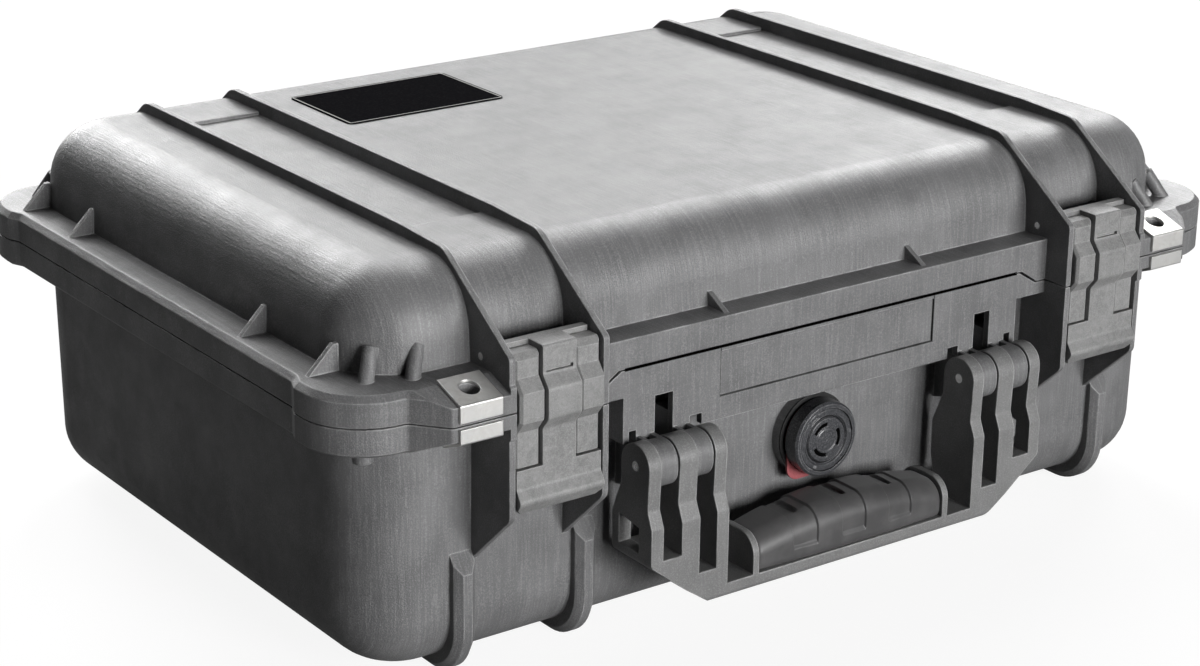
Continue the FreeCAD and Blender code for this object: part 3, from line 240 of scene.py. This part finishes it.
# Painted shade: the seam, the name plate's edge and the land under the valve's cap go dark.
paint_shade(tree, shader, front_painted_shade(tree), PAINTED_SHADE_TONE)
wear_finish(case_plastic, "base_shell", "lid_shell")

# The seal: a round cord of soft black rubber, laid in the groove round the lid and joined end
# to end. It is held by its own squeeze, and it has the fine flash line of its mould inside.

SEAL_RADIUS, SEAL_CORNER, SEAL_SIDES, SEAL_FLASH = 0.0025, 0.033, 20, 0.00015
CORNER_STEPS = 12


def rounded_path(name, half_x, half_y, height, radius):
    """A closed spline round a rectangle with round corners."""
    curve = bpy.data.curves.new(name, "CURVE")
    curve.dimensions = "3D"
    spots = []
    for corner, (x, y) in enumerate(((1, 1), (-1, 1), (-1, -1), (1, -1))):
        for step in range(CORNER_STEPS + 1):
            turn = math.radians(90 * corner + 90 * step / CORNER_STEPS)
            spots.append((x * (half_x - radius) + radius * math.cos(turn),
                          y * (half_y - radius) + radius * math.sin(turn), height, 1))
    line = curve.splines.new("POLY")
    line.points.add(len(spots) - 1)
    for point, spot in zip(line.points, spots):
        point.co = spot
    line.use_cyclic_u = True
    return bpy.data.objects.new(name, curve)


def as_piece(name, mesh, material, body):
    """A finished mesh as a piece of the part, with its finish, that moves with a body."""
    piece = bpy.data.objects.new(name, mesh)
    bpy.context.scene.collection.objects.link(piece)
    mesh.materials.clear()
    mesh.materials.append(material)
    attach(piece, body)
    return piece


def evaluated_mesh(holder, name):
    """The plain mesh that an object's modifiers make. The object itself is then removed."""
    seen = holder.evaluated_get(bpy.context.evaluated_depsgraph_get())
    mesh = bpy.data.meshes.new_from_object(seen)
    mesh.name = name
    bpy.data.objects.remove(holder)
    return mesh


def geometry_tree(name, sizes):
    """A geometry node tree with named sizes, its way in and its way out."""
    tree = bpy.data.node_groups.new(name, "GeometryNodeTree")
    geometry = {"name": "Geometry", "socket_type": "NodeSocketGeometry"}
    tree.interface.new_socket(in_out="INPUT", **geometry)
    for label, value in sizes.items():
        kind = "NodeSocketInt" if isinstance(value, int) else "NodeSocketFloat"
        made = tree.interface.new_socket(name=label, in_out="INPUT", socket_type=kind)
        made.default_value = value
    tree.interface.new_socket(in_out="OUTPUT", **geometry)
    return tree, node(tree, "NodeGroupInput").outputs, node(tree, "NodeGroupOutput").inputs


def cord_tree(rubber):
    """A round section with a ridge at its first point, swept along a path."""
    tree, given, out = geometry_tree("seal_cord", {"Radius": SEAL_RADIUS, "Sides": SEAL_SIDES,
                                                   "Flash": SEAL_FLASH})
    section = node(tree, "GeometryNodeCurvePrimitiveCircle",
                   {"Resolution": given["Sides"], "Radius": given["Radius"]})
    index = node(tree, "GeometryNodeInputIndex").outputs[0]
    ridge = math_node(tree, "MULTIPLY", math_node(tree, "LESS_THAN", index, 0.5), given["Flash"])
    push = node(tree, "ShaderNodeCombineXYZ", {0: ridge})
    lined = node(tree, "GeometryNodeSetPosition",
                 {"Geometry": section.outputs[0], "Offset": push.outputs[0]})
    made = node(tree, "GeometryNodeCurveToMesh",
                {"Curve": given["Geometry"], "Profile Curve": lined.outputs[0]})
    for kind, inputs in (("GeometryNodeSetShadeSmooth", {}),
                         ("GeometryNodeRealizeInstances", {}),
                         ("GeometryNodeSetMaterial", {"Material": rubber})):
        made = node(tree, kind, {"Geometry": made.outputs[0], **inputs})
    tree.links.new(made.outputs[0], out["Geometry"])
    return tree


def soft_rubber(name, dark, pale, roughness, pore, depth, sheen):
    """A matt rubber with fine pores, and a faint bloom where it drifts to the pale tone."""
    material, tree, shader = new_finish(name)
    place = object_place(tree)
    for label, value in (("Sheen Weight", sheen), ("Sheen Roughness", 0.5),
                         ("Specular IOR Level", 0.4)):
        shader.inputs[label].default_value = value
    pores = node(tree, "ShaderNodeTexVoronoi",
                 {"Vector": place, "Scale": 1 / pore, "Smoothness": 0.6}, feature="SMOOTH_F1")
    bloom = noise(tree, place, 60.0, 5.0, 0.65)
    lay_finish(tree, shader, blend(tree, remap(tree, bloom, 0.4, 0.68), dark, pale),
               remap(tree, bloom, 0.3, 0.7, roughness - 0.06, roughness + 0.08),
               relief(tree, pores.outputs["Distance"], depth))
    return material


seal_rubber = soft_rubber("seal_rubber", dark=(0.022, 0.022, 0.023), pale=(0.04, 0.04, 0.041),
                          roughness=0.62, pore=0.0006, depth=0.00003, sheen=0.15)
low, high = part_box("lid_seal")
seal_half = [(high[axis] - low[axis]) / 2 - SEAL_RADIUS for axis in (0, 1)]
seal_path = rounded_path("seal_path", *seal_half, (low[2] + high[2]) / 2, SEAL_CORNER)
bpy.context.scene.collection.objects.link(seal_path)
seal_path.modifiers.new("cord", "NODES").node_group = cord_tree(seal_rubber)
seal_mesh = evaluated_mesh(seal_path, "seal_cord")
seal = as_piece("seal_cord", seal_mesh, seal_rubber, "lid")
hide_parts("lid_seal")

# The pins: straight ground steel rods through the hinge knuckles, the latches and the handle's
# prongs. They are pressed into the outer knuckles, and only their cut ends show.

ALONG_X = (1.0, 0.02, 0.02)


def ground_steel():
    material, tree, shader = new_finish("ground_steel")
    place = object_place(tree)
    shader.inputs["Metallic"].default_value = 1.0
    rings = node(tree, "ShaderNodeMapping", {"Vector": place, "Scale": ALONG_X})
    turning = noise(tree, rings.outputs[0], 9000.0, 2.0)
    stain = noise(tree, place, 300.0, 4.0)
    worn_and_lit = node(tree, "ShaderNodeGroup", {"Position": place, "Radius": 0.0003}, node_tree=EDGES)
    tone = blend(tree, remap(tree, stain, 0.45, 0.7), (0.86, 0.86, 0.85), (0.66, 0.65, 0.63))
    lay_finish(tree, shader, tone, remap(tree, stain, 0.3, 0.7, 0.24, 0.4),
               relief(tree, turning, 0.00001, worn_and_lit.outputs["Normal"]))
    return material


steel = ground_steel()
for side in ("left", "right"):
    wear_finish(steel, *(f"{kind}_pin_{side}" for kind in ("hinge", "latch", "lever", "handle")))

# The latches: a hook member and a lever, moulded in a paler grey nylon whose filler shows as
# mottling. They hang on steel pins in the lid's ribs, and their faces are scuffed by use; their
# pale edges are partly painted highlight.

MOTTLE_TONE, MOTTLE_SHARE = (0.28, 0.28, 0.275), 0.6

latch_plastic, tree, shader = moulded(
    "latch_plastic", dark=(0.12, 0.12, 0.12), pale=(0.18, 0.18, 0.18), rubbed_and_highlit=(0.42, 0.42, 0.415),
    roughness=0.46, grain=0.0006, drag=0.15, depth=0.00018, edge=0.0007, patch=0.008)
cloud = noise(tree, object_place(tree), 260.0, 8.0, 0.8, 0.6)
plain = shader.inputs["Base Color"].links[0].from_socket
mottled = blend(tree, remap(tree, cloud, 0.4, 0.66, to_high=MOTTLE_SHARE), plain, MOTTLE_TONE)
tree.links.new(mottled, shader.inputs["Base Color"])
for side in ("left", "right"):
    wear_finish(latch_plastic, f"latch_hook_{side}", f"latch_lever_{side}")

# The padlock plates: brushed stainless sheet, punched and folded over the lugs at the front
# corners. They are pressed on and take the wear of a padlock's shackle round their holes.


def brushed_stainless():
    material, tree, shader = new_finish("brushed_stainless")
    place = object_place(tree)
    shader.inputs["Metallic"].default_value = 1.0
    along = node(tree, "ShaderNodeMapping", {"Vector": place, "Scale": ALONG_X})
    brush = noise(tree, along.outputs[0], 5200.0, 3.0, 0.65)
    smear = noise(tree, place, 130.0, 4.0, distortion=0.8)
    worn_and_lit = node(tree, "ShaderNodeGroup", {"Position": place, "Radius": 0.0004, "Patch": 0.004},
                node_tree=EDGES).outputs
    tone = blend(tree, remap(tree, smear, 0.42, 0.7), (0.78, 0.775, 0.76), (0.62, 0.61, 0.59))
    roughness = math_node(tree, "ADD", remap(tree, brush, 0.3, 0.7, 0.33, 0.45),
                          remap(tree, smear, 0.4, 0.7, to_high=0.08))
    # The edges go pale: partly rub, partly a painted highlight.
    lay_finish(tree, shader, blend(tree, worn_and_lit["RubAndHighlight"], tone, (0.75, 0.75, 0.74)), roughness,
               relief(tree, brush, 0.000012, worn_and_lit["Normal"]))
    return material


stainless = brushed_stainless()
for side in ("left", "right"):
    wear_finish(stainless, f"lock_plate_lid_{side}", f"lock_plate_base_{side}")

# The handle's frame: one moulding in smooth grey nylon with three prongs a side.
# It is shinier than the case, and its edges are rubbed pale, partly as a painted highlight.

handle_plastic, _, _ = moulded(
    "handle_plastic", dark=(0.13, 0.13, 0.13), pale=(0.17, 0.17, 0.17), rubbed_and_highlit=(0.42, 0.42, 0.415),
    roughness=0.38, grain=0.0006, drag=0.2, depth=0.00005, edge=0.0011, patch=0.01)
wear_finish(handle_plastic, "handle_frame")

# The grip: brown-black rubber moulded over the handle's core. It swells in the middle. Three
# sunk bands for the fingers run over it, each with a slot at the top where the tool held the core.

GRIP_HALF, GRIP_FRONT, GRIP_BACK, SIDE_SWELL = 0.0499, -0.1788, -0.154, 0.0016
GRIP_TOP, GRIP_BOTTOM, TOP_SWELL = 0.0425, 0.0271, 0.006
TOP_ROUND, TOP_STEPS, BOTTOM_ROUND, BOTTOM_STEPS = 0.009, 18, 0.003, 6
FLAT_STEPS, LENGTH_STEPS = 12, 110
END_WIDTH, END_DEPTH = 0.0012, 0.0007
BANDS, BAND_PITCH, BAND_HALF, BAND_DEPTH, BAND_EASE = (-1, 0, 1), 0.0258, 0.0063, 0.0009, 0.0007
BAND_END, BAND_END_EASE = 0.0335, 0.0008
SLOT_HALF, SLOT_REACH, SLOT_DEPTH, SLOT_MIDDLE = 0.0021, 0.0072, 0.0016, -0.1645
EDGE_TENTHS = (-5, -3.2, -1.6, 0, 1.6, 3.2, 5)


def eased(value, middle, width):
    """Rises from 0 to 1 over a width round a middle."""
    share = min(max((value - middle) / width + 0.5, 0.0), 1.0)
    return share * share * (3 - 2 * share)


def joined_rings(rows, count, first=0, turned=False, closed=False):
    """The four-sided faces between rings of points that follow each other."""
    faces = []
    for row in range(rows if closed else rows - 1):
        near, far = first + row * count, first + (row + 1) % rows * count
        for step in range(count):
            after = (step + 1) % count
            face = (near + step, far + step, far + after, near + after)
            faces.append((face[0], *face[:0:-1]) if turned else face)
    return faces


def mesh_of(name, points, faces):
    mesh = bpy.data.meshes.new(name)
    mesh.from_pydata(points, [], faces)
    return mesh


def grip_ring(x):
    """The points and outward directions of the grip's outline at one place along it."""
    swell = 1 - (x / GRIP_HALF) ** 2
    front, back = GRIP_FRONT - SIDE_SWELL * swell, GRIP_BACK + SIDE_SWELL * swell
    top, bottom = GRIP_TOP + TOP_SWELL * swell, GRIP_BOTTOM
    big, small = TOP_ROUND, BOTTOM_ROUND
    corners = ((front + small, bottom + small, small, 180), (front + big, top - big, big, 90),
               (back - big, top - big, big, 0), (back - small, bottom + small, small, -90))
    ring = []
    for index, (y, z, radius, start) in enumerate(corners):
        steps = TOP_STEPS if radius == big else BOTTOM_STEPS
        for step in range(steps + 1):
            turn = math.radians(start + 90 - 90 * step / steps)
            way = (math.cos(turn), math.sin(turn))
            ring.append((y + radius * way[0], z + radius * way[1], way))
        near = ring[-1]
        next_y, next_z, next_radius, next_start = corners[(index + 1) % len(corners)]
        turn = math.radians(next_start + 90)
        far = (next_y + next_radius * math.cos(turn), next_z + next_radius * math.sin(turn))
        for step in range(1, FLAT_STEPS):
            share = step / FLAT_STEPS
            ring.append((near[0] + (far[0] - near[0]) * share,
                         near[1] + (far[1] - near[1]) * share, near[2]))
    return ring


def grip_stops():
    """The places along the grip that get a ring: even ones, and close ones at each soft edge."""
    stops = {-GRIP_HALF, GRIP_HALF}
    stops.update(-GRIP_HALF + 2 * GRIP_HALF * step / LENGTH_STEPS
                 for step in range(LENGTH_STEPS + 1))
    for band in BANDS:
        for edge in (BAND_HALF, SLOT_HALF):
            for side in (-1, 1):
                middle = band * BAND_PITCH + side * edge
                stops.update(middle + tenths * 0.0001 for tenths in EDGE_TENTHS)
    return sorted(stop for stop in stops if abs(stop) <= GRIP_HALF)


def grip_depth(x, y, z, way):
    """How deep the grip's ends, bands and slots are sunk at a point of its outline."""
    depth = END_DEPTH * (1 - eased(GRIP_HALF - abs(x), END_WIDTH / 2, END_WIDTH))
    for band in BANDS:
        off = abs(x - band * BAND_PITCH)
        above = eased(z, BAND_END, BAND_END_EASE)
        depth += BAND_DEPTH * ((1 - eased(off, BAND_HALF, BAND_EASE)) * above)
        spot = (y - SLOT_MIDDLE) ** 2 / (SLOT_REACH * SLOT_REACH) + (off / SLOT_HALF) ** 4
        depth += SLOT_DEPTH * (1 - eased(spot, 1.0, 0.5)) * eased(max(way[1], 0.0), 0.3, 0.3)
    return depth


def grip_mesh():
    stops = grip_stops()
    points, count = [], 0
    for x in stops:
        ring = grip_ring(x)
        count = len(ring)
        for y, z, way in ring:
            depth = grip_depth(x, y, z, way)
            points.append((x, y - way[0] * depth, z - way[1] * depth))
    faces = joined_rings(len(stops), count, turned=True)
    for row in (0, len(stops) - 1):
        middle = len(points)
        spots = points[row * count:(row + 1) * count]
        points.append(tuple(sum(spot[axis] for spot in spots) / count for axis in range(3)))
        for step in range(count):
            pair = (row * count + step, row * count + (step + 1) % count)
            faces.append((*(pair if row else pair[::-1]), middle))
    mesh = mesh_of("grip", points, faces)
    mesh.shade_smooth()
    return mesh


grip_rubber = soft_rubber("grip_rubber", dark=(0.055, 0.054, 0.055), pale=(0.085, 0.083, 0.084),
                          roughness=0.44, pore=0.00045, depth=0.00002, sheen=0.1)
grip = as_piece("grip", grip_mesh(), grip_rubber, "handle")
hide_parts("handle_grip")

# The pressure valve: a blue-black moulded cap on a shank through the front wall, held by a nut
# inside. Its face has a turned ring, a key's notches and three curved vents over the membrane.

MM = 0.001
VENT_TURNS, VENT_HALF, VENT_NEAR, VENT_FAR, VENT_DEPTH = (0, 120, 240), 32, 6.0, 7.6, 0.9
GROOVE_NEAR, GROOVE_FAR, GROOVE_SHARE = 9.9, 10.6, 0.8
NOTCHES, NOTCH_NEAR, NOTCH_DEPTH = ((35, 28), (215, 28), (125, 10), (305, 10)), 11.6, 0.6
RING_EASE, VENT_EASE, NOTCH_EASE = 0.4, 4, 3
FACE_STEPS = ((0.0, 1.0), (1.6, 1.0), (1.8, 0.85), (4.6, 0.85), (4.8, 0.65), (5.2, 0.65),
              (5.4, 1.0), (9.6, 1.0), (9.9, 0.12), (10.8, 0.12), (11.1, 1.1), (13.5, 1.1),
              (14.0, 0.3))
FACE_FLOOR, FACE_MIDDLE, FACE_FRONT = -0.1594, 0.00075, -0.158
FACE_START, FACE_END, FACE_SIDES = 0.4, 13.98, 144
PLAIN_END, PLAIN_STEP, FINE_STEP = 4.2, 0.5, 0.15
VENT_SHADE_TONE = (0.002, 0.002, 0.002)


def between(tree, value, low, high):
    """1 where a value lies between two others, and 0 elsewhere."""
    return math_node(tree, "MULTIPLY", math_node(tree, "GREATER_THAN", value, low),
                     math_node(tree, "LESS_THAN", value, high))


def painted_vent_shade(tree):
    """The painted shade inside the vents and the groove round them, from 0 to 1."""
    calc = partial(math_node, tree)
    x, y, z = object_axes(tree)
    rise, radius = from_valve_axis(tree, x, z)
    thirds = calc("COSINE", calc("MULTIPLY", calc("ARCTAN2", rise, x), 3.0))
    in_turn = calc("GREATER_THAN", thirds, math.cos(math.radians(3 * VENT_HALF)))
    vents = calc("MULTIPLY", in_turn, between(tree, radius, VENT_NEAR * MM, VENT_FAR * MM))
    groove = calc("MULTIPLY", between(tree, radius, GROOVE_NEAR * MM, GROOVE_FAR * MM),
                  GROOVE_SHARE)
    return calc("MULTIPLY", calc("LESS_THAN", y, FACE_FRONT), calc("MAXIMUM", vents, groove))


def apart(turn, other):
    """The angle between two directions, in degrees."""
    return abs((turn - other + 180) % 360 - 180)


def face_height(radius, turn):
    """How far the valve's face stands from the floor of the cap, in millimetres."""
    height = FACE_STEPS[-1][1]
    for (near, low), (far, high) in zip(FACE_STEPS, FACE_STEPS[1:]):
        if near <= radius <= far:
            height = low + (high - low) * (radius - near) / (far - near)
            break
    in_ring = eased(radius, VENT_NEAR, RING_EASE) * (1 - eased(radius, VENT_FAR, RING_EASE))
    for start in VENT_TURNS:
        height -= VENT_DEPTH * (eased(VENT_HALF - apart(turn, start), 0, VENT_EASE) * in_ring)
    beyond = eased(radius, NOTCH_NEAR, RING_EASE)
    for start, reach in NOTCHES:
        height -= NOTCH_DEPTH * eased(reach - apart(turn, start), 0, NOTCH_EASE) * beyond
    return height


def valve_face_mesh():
    radii = [FACE_START]
    while radii[-1] < FACE_END:
        radii.append(radii[-1] + (FINE_STEP if radii[-1] > PLAIN_END else PLAIN_STEP))
    points = [(0.0, FACE_FLOOR - FACE_MIDDLE, VALVE_HEIGHT)]
    for radius in radii:
        for step in range(FACE_SIDES):
            degrees = 360 * step / FACE_SIDES
            turn, reach = math.radians(degrees), radius * MM
            points.append((reach * math.cos(turn), FACE_FLOOR - face_height(radius, degrees) * MM,
                           VALVE_HEIGHT + reach * math.sin(turn)))
    faces = [(0, 1 + step, 1 + (step + 1) % FACE_SIDES) for step in range(FACE_SIDES)]
    faces += joined_rings(len(radii), FACE_SIDES, first=1)
    mesh = mesh_of("valve_face", points, faces)
    mesh.shade_smooth()
    return mesh


# Its pale edges are partly rub and partly a painted glint.
valve_plastic, tree, shader = moulded(
    "valve_plastic", dark=(0.02, 0.021, 0.024), pale=(0.035, 0.036, 0.04), rubbed_and_highlit=(0.3, 0.3, 0.31),
    roughness=0.28, grain=0.0005, drag=0.1, depth=0.00002, edge=0.0005, patch=0.004)
# Painted shade darkens the vents and the groove round them on the valve's face.
paint_shade(tree, shader, painted_vent_shade(tree), VENT_SHADE_TONE)
wear_finish(valve_plastic, "valve_body", "valve_nut")
as_piece("valve_face", valve_face_mesh(), valve_plastic, "base")

# The valve's washer: a thin red fibre ring under the cap, with a round-ended tab that shows
# below it. The vent disc behind the valve's face is a pale woven membrane, set in the shank.

WASHER_RADIUS, WASHER_HOLE, WASHER_THICK, WASHER_SIDES = 15.2, 9.8, 1.1, 240
TAB_LEFT, TAB_RIGHT, TAB_LOW, TAB_ROUND = -14.5, 2.5, -18.5, 6.0
TAB_END, TAB_STEP = 30, 0.05
HOLE_SECTION = ((0.0, WASHER_THICK), (0.0, 0.0))
RIM_SECTION = ((-0.3, 0.0), (-0.08, 0.08), (0.0, 0.3), (0.0, WASHER_THICK))


def washer_reach(way):
    """How far the washer reaches from the valve's middle in one direction, in millimetres."""
    reach = WASHER_RADIUS
    while reach < TAB_END:
        x, z = way[0] * reach, way[1] * reach
        if not (TAB_LEFT < x < TAB_RIGHT and TAB_LOW < z < 0):
            break
        near_x = min(max(x, TAB_LEFT + TAB_ROUND), TAB_RIGHT - TAB_ROUND)
        near_z = max(z, TAB_LOW + TAB_ROUND)
        if math.hypot(x - near_x, z - near_z) > TAB_ROUND:
            break
        reach += TAB_STEP
    return reach


def washer_mesh():
    """Rings of points from the hole's back over the front face to the rim's back."""
    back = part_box("valve_seal")[1][1]
    rows = [(False, *place) for place in HOLE_SECTION] + [(True, *place) for place in RIM_SECTION]
    points = []
    for outer, shift, sunk in rows:
        for step in range(WASHER_SIDES):
            turn = math.tau * step / WASHER_SIDES
            way = (math.cos(turn), math.sin(turn))
            reach = ((washer_reach(way) if outer else WASHER_HOLE) + shift) * MM
            points.append((way[0] * reach, back + (sunk - WASHER_THICK) * MM,
                           VALVE_HEIGHT + way[1] * reach))
    mesh = mesh_of("washer", points, joined_rings(len(rows), WASHER_SIDES, closed=True))
    mesh.validate()
    return mesh


def washer_red():
    material, tree, shader = new_finish("washer_red")
    fibre = noise(tree, object_place(tree), 1500.0, 4.0, distortion=1.5)
    tone = blend(tree, remap(tree, fibre, 0.35, 0.7), (0.22, 0.035, 0.04), (0.32, 0.085, 0.095))
    lay_finish(tree, shader, tone, remap(tree, fibre, 0.3, 0.7, 0.5, 0.66),
               relief(tree, fibre, 0.00003))
    return material


def membrane():
    material, tree, shader = new_finish("vent_membrane")
    place = object_place(tree)
    waves = [node(tree, "ShaderNodeTexWave", {"Vector": place, "Scale": 700.0},
                  bands_direction=axis).outputs["Fac"] for axis in ("X", "Z")]
    weave = math_node(tree, "MAXIMUM", *waves)
    lay_finish(tree, shader, blend(tree, weave, (0.5, 0.5, 0.49), (0.82, 0.82, 0.8)),
               remap(tree, weave, 0.0, 1.0, 0.9, 0.75), relief(tree, weave, 0.00005))
    return material


washer = as_piece("washer", washer_mesh(), washer_red(), "base")
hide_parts("valve_seal")
wear_finish(membrane(), "vent_disc")

# The lid's label: a thin black plastic film with a pale border line, bare inside the line.
# It is die cut and stuck flat on the lid's top, and fine dust lies on it.

LINE_NEAR, LINE_FAR = 0.0009, 0.0014
FILM_BLACK, FILM_DUSTY, LINE_TONE = (0.007, 0.007, 0.008), (0.018, 0.018, 0.018), (0.55, 0.55, 0.53)


def label_film():
    material, tree, shader = new_finish("label_film")
    place = object_place(tree)
    shader.inputs["Specular IOR Level"].default_value = 0.0
    calc = partial(math_node, tree)
    low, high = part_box("lid_label")
    split = node(tree, "ShaderNodeSeparateXYZ", {0: place})
    inset = []
    for axis in (0, 1):
        centre, half = (low[axis] + high[axis]) / 2, (high[axis] - low[axis]) / 2
        off = calc("ABSOLUTE", calc("SUBTRACT", split.outputs[axis], centre))
        inset.append(calc("SUBTRACT", half, off))
    line = between(tree, calc("MINIMUM", *inset), LINE_NEAR, LINE_FAR)
    dust = noise(tree, place, 900.0, 5.0, 0.7)
    film = blend(tree, remap(tree, dust, 0.5, 0.75), FILM_BLACK, FILM_DUSTY)
    lay_finish(tree, shader, blend(tree, line, film, LINE_TONE),
               remap(tree, dust, 0.3, 0.7, 0.42, 0.6), relief(tree, dust, 0.00001))
    return material


wear_finish(label_film(), "lid_label")

# The studio: a plain white floor, a white surround, and four wide soft lamps, above, behind,
# behind at the right and in front. The camera stands at the photograph's place.

FLOOR_REACH, FLOOR_TONE, FLOOR_GLOW, FLOOR_MIRRORED = 8, 0.12, 0.9, 0.12
SURROUND_MIRRORED = 0.05
WHITE = (1, 1, 1, 1)


def seen_share(tree, glossy):
    """1 for what the camera sees and the given share for reflections and what is seen through."""
    path = node(tree, "ShaderNodeLightPath").outputs
    mirrored = math_node(tree, "MAXIMUM", path["Is Glossy Ray"], path["Is Transmission Ray"])
    return math_node(tree, "MAXIMUM", path["Is Camera Ray"],
                     math_node(tree, "MULTIPLY", mirrored, glossy))


corners = [(x * FLOOR_REACH, y * FLOOR_REACH, 0) for x, y in ((-1, -1), (1, -1), (1, 1), (-1, 1))]
floor_mesh = mesh_of("floor", corners, [(0, 1, 2, 3)])
floor = bpy.data.objects.new("floor", floor_mesh)
bpy.context.scene.collection.objects.link(floor)
floor_finish, tree, shader = new_finish("white_floor")
for label, value in (("Base Color", (FLOOR_TONE, FLOOR_TONE, FLOOR_TONE, 1)), ("Roughness", 0.9),
                     ("Specular IOR Level", 0.0), ("Emission Color", WHITE)):
    shader.inputs[label].default_value = value
tree.links.new(math_node(tree, "MULTIPLY", seen_share(tree, FLOOR_MIRRORED), FLOOR_GLOW),
               shader.inputs["Emission Strength"])
floor_mesh.materials.append(floor_finish)

surround = bpy.data.worlds.new("studio")
bpy.context.scene.world = surround
surround.use_nodes = True
tree = surround.node_tree
background = tree.nodes["Background"]
background.inputs["Color"].default_value = WHITE
tree.links.new(seen_share(tree, SURROUND_MIRRORED), background.inputs["Strength"])


def light(name, strength, place, width):
    """A wide soft lamp, far off in the direction of its place, as wide as the given angle."""
    lamp = bpy.data.lights.new(name, "SUN")
    lamp.energy, lamp.angle = strength, math.radians(width)
    stand = bpy.data.objects.new(name, lamp)
    stand.location = place
    stand.rotation_euler = Vector(place).to_track_quat("Z", "Y").to_euler()
    bpy.context.scene.collection.objects.link(stand)


light("overhead", 1.1, (0.12, 0.7, 1.0), 30)
light("back", 2.8, (0.18, 0.95, 0.38), 30)
light("back_right", 2.1, (0.75, 0.6, 0.5), 25)
light("front", 6.2, (0.15, -1.0, 0.08), 35)

CAMERA_PLACE = Vector((-0.706614, -0.971449, 0.503057))
RIGHT_TURN, DOWN_TILT, ROLL = (math.radians(angle) for angle in (35.96967, 19.9355, 0.61623))
LENS_LENGTH, SENSOR_WIDTH, CLIP_START, CLIP_END = 82.7055, 36, 0.01, 50

ahead = Vector((math.sin(RIGHT_TURN) * math.cos(DOWN_TILT),
                math.cos(RIGHT_TURN) * math.cos(DOWN_TILT), -math.sin(DOWN_TILT)))
across = Vector((math.cos(RIGHT_TURN), -math.sin(RIGHT_TURN), 0))
upward = across.cross(ahead)
rolled_across = math.cos(ROLL) * across + math.sin(ROLL) * upward
rolled_up = -math.sin(ROLL) * across + math.cos(ROLL) * upward
lens = bpy.data.cameras.new("camera")
lens.sensor_width, lens.lens = SENSOR_WIDTH, LENS_LENGTH
lens.clip_start, lens.clip_end = CLIP_START, CLIP_END
camera = bpy.data.objects.new("camera", lens)
camera.matrix_world = Matrix((*zip(rolled_across, rolled_up, -ahead, CAMERA_PLACE), (0, 0, 0, 1)))
bpy.context.scene.collection.objects.link(camera)
bpy.context.scene.camera = camera
bpy.context.scene.view_settings.view_transform = "Standard"
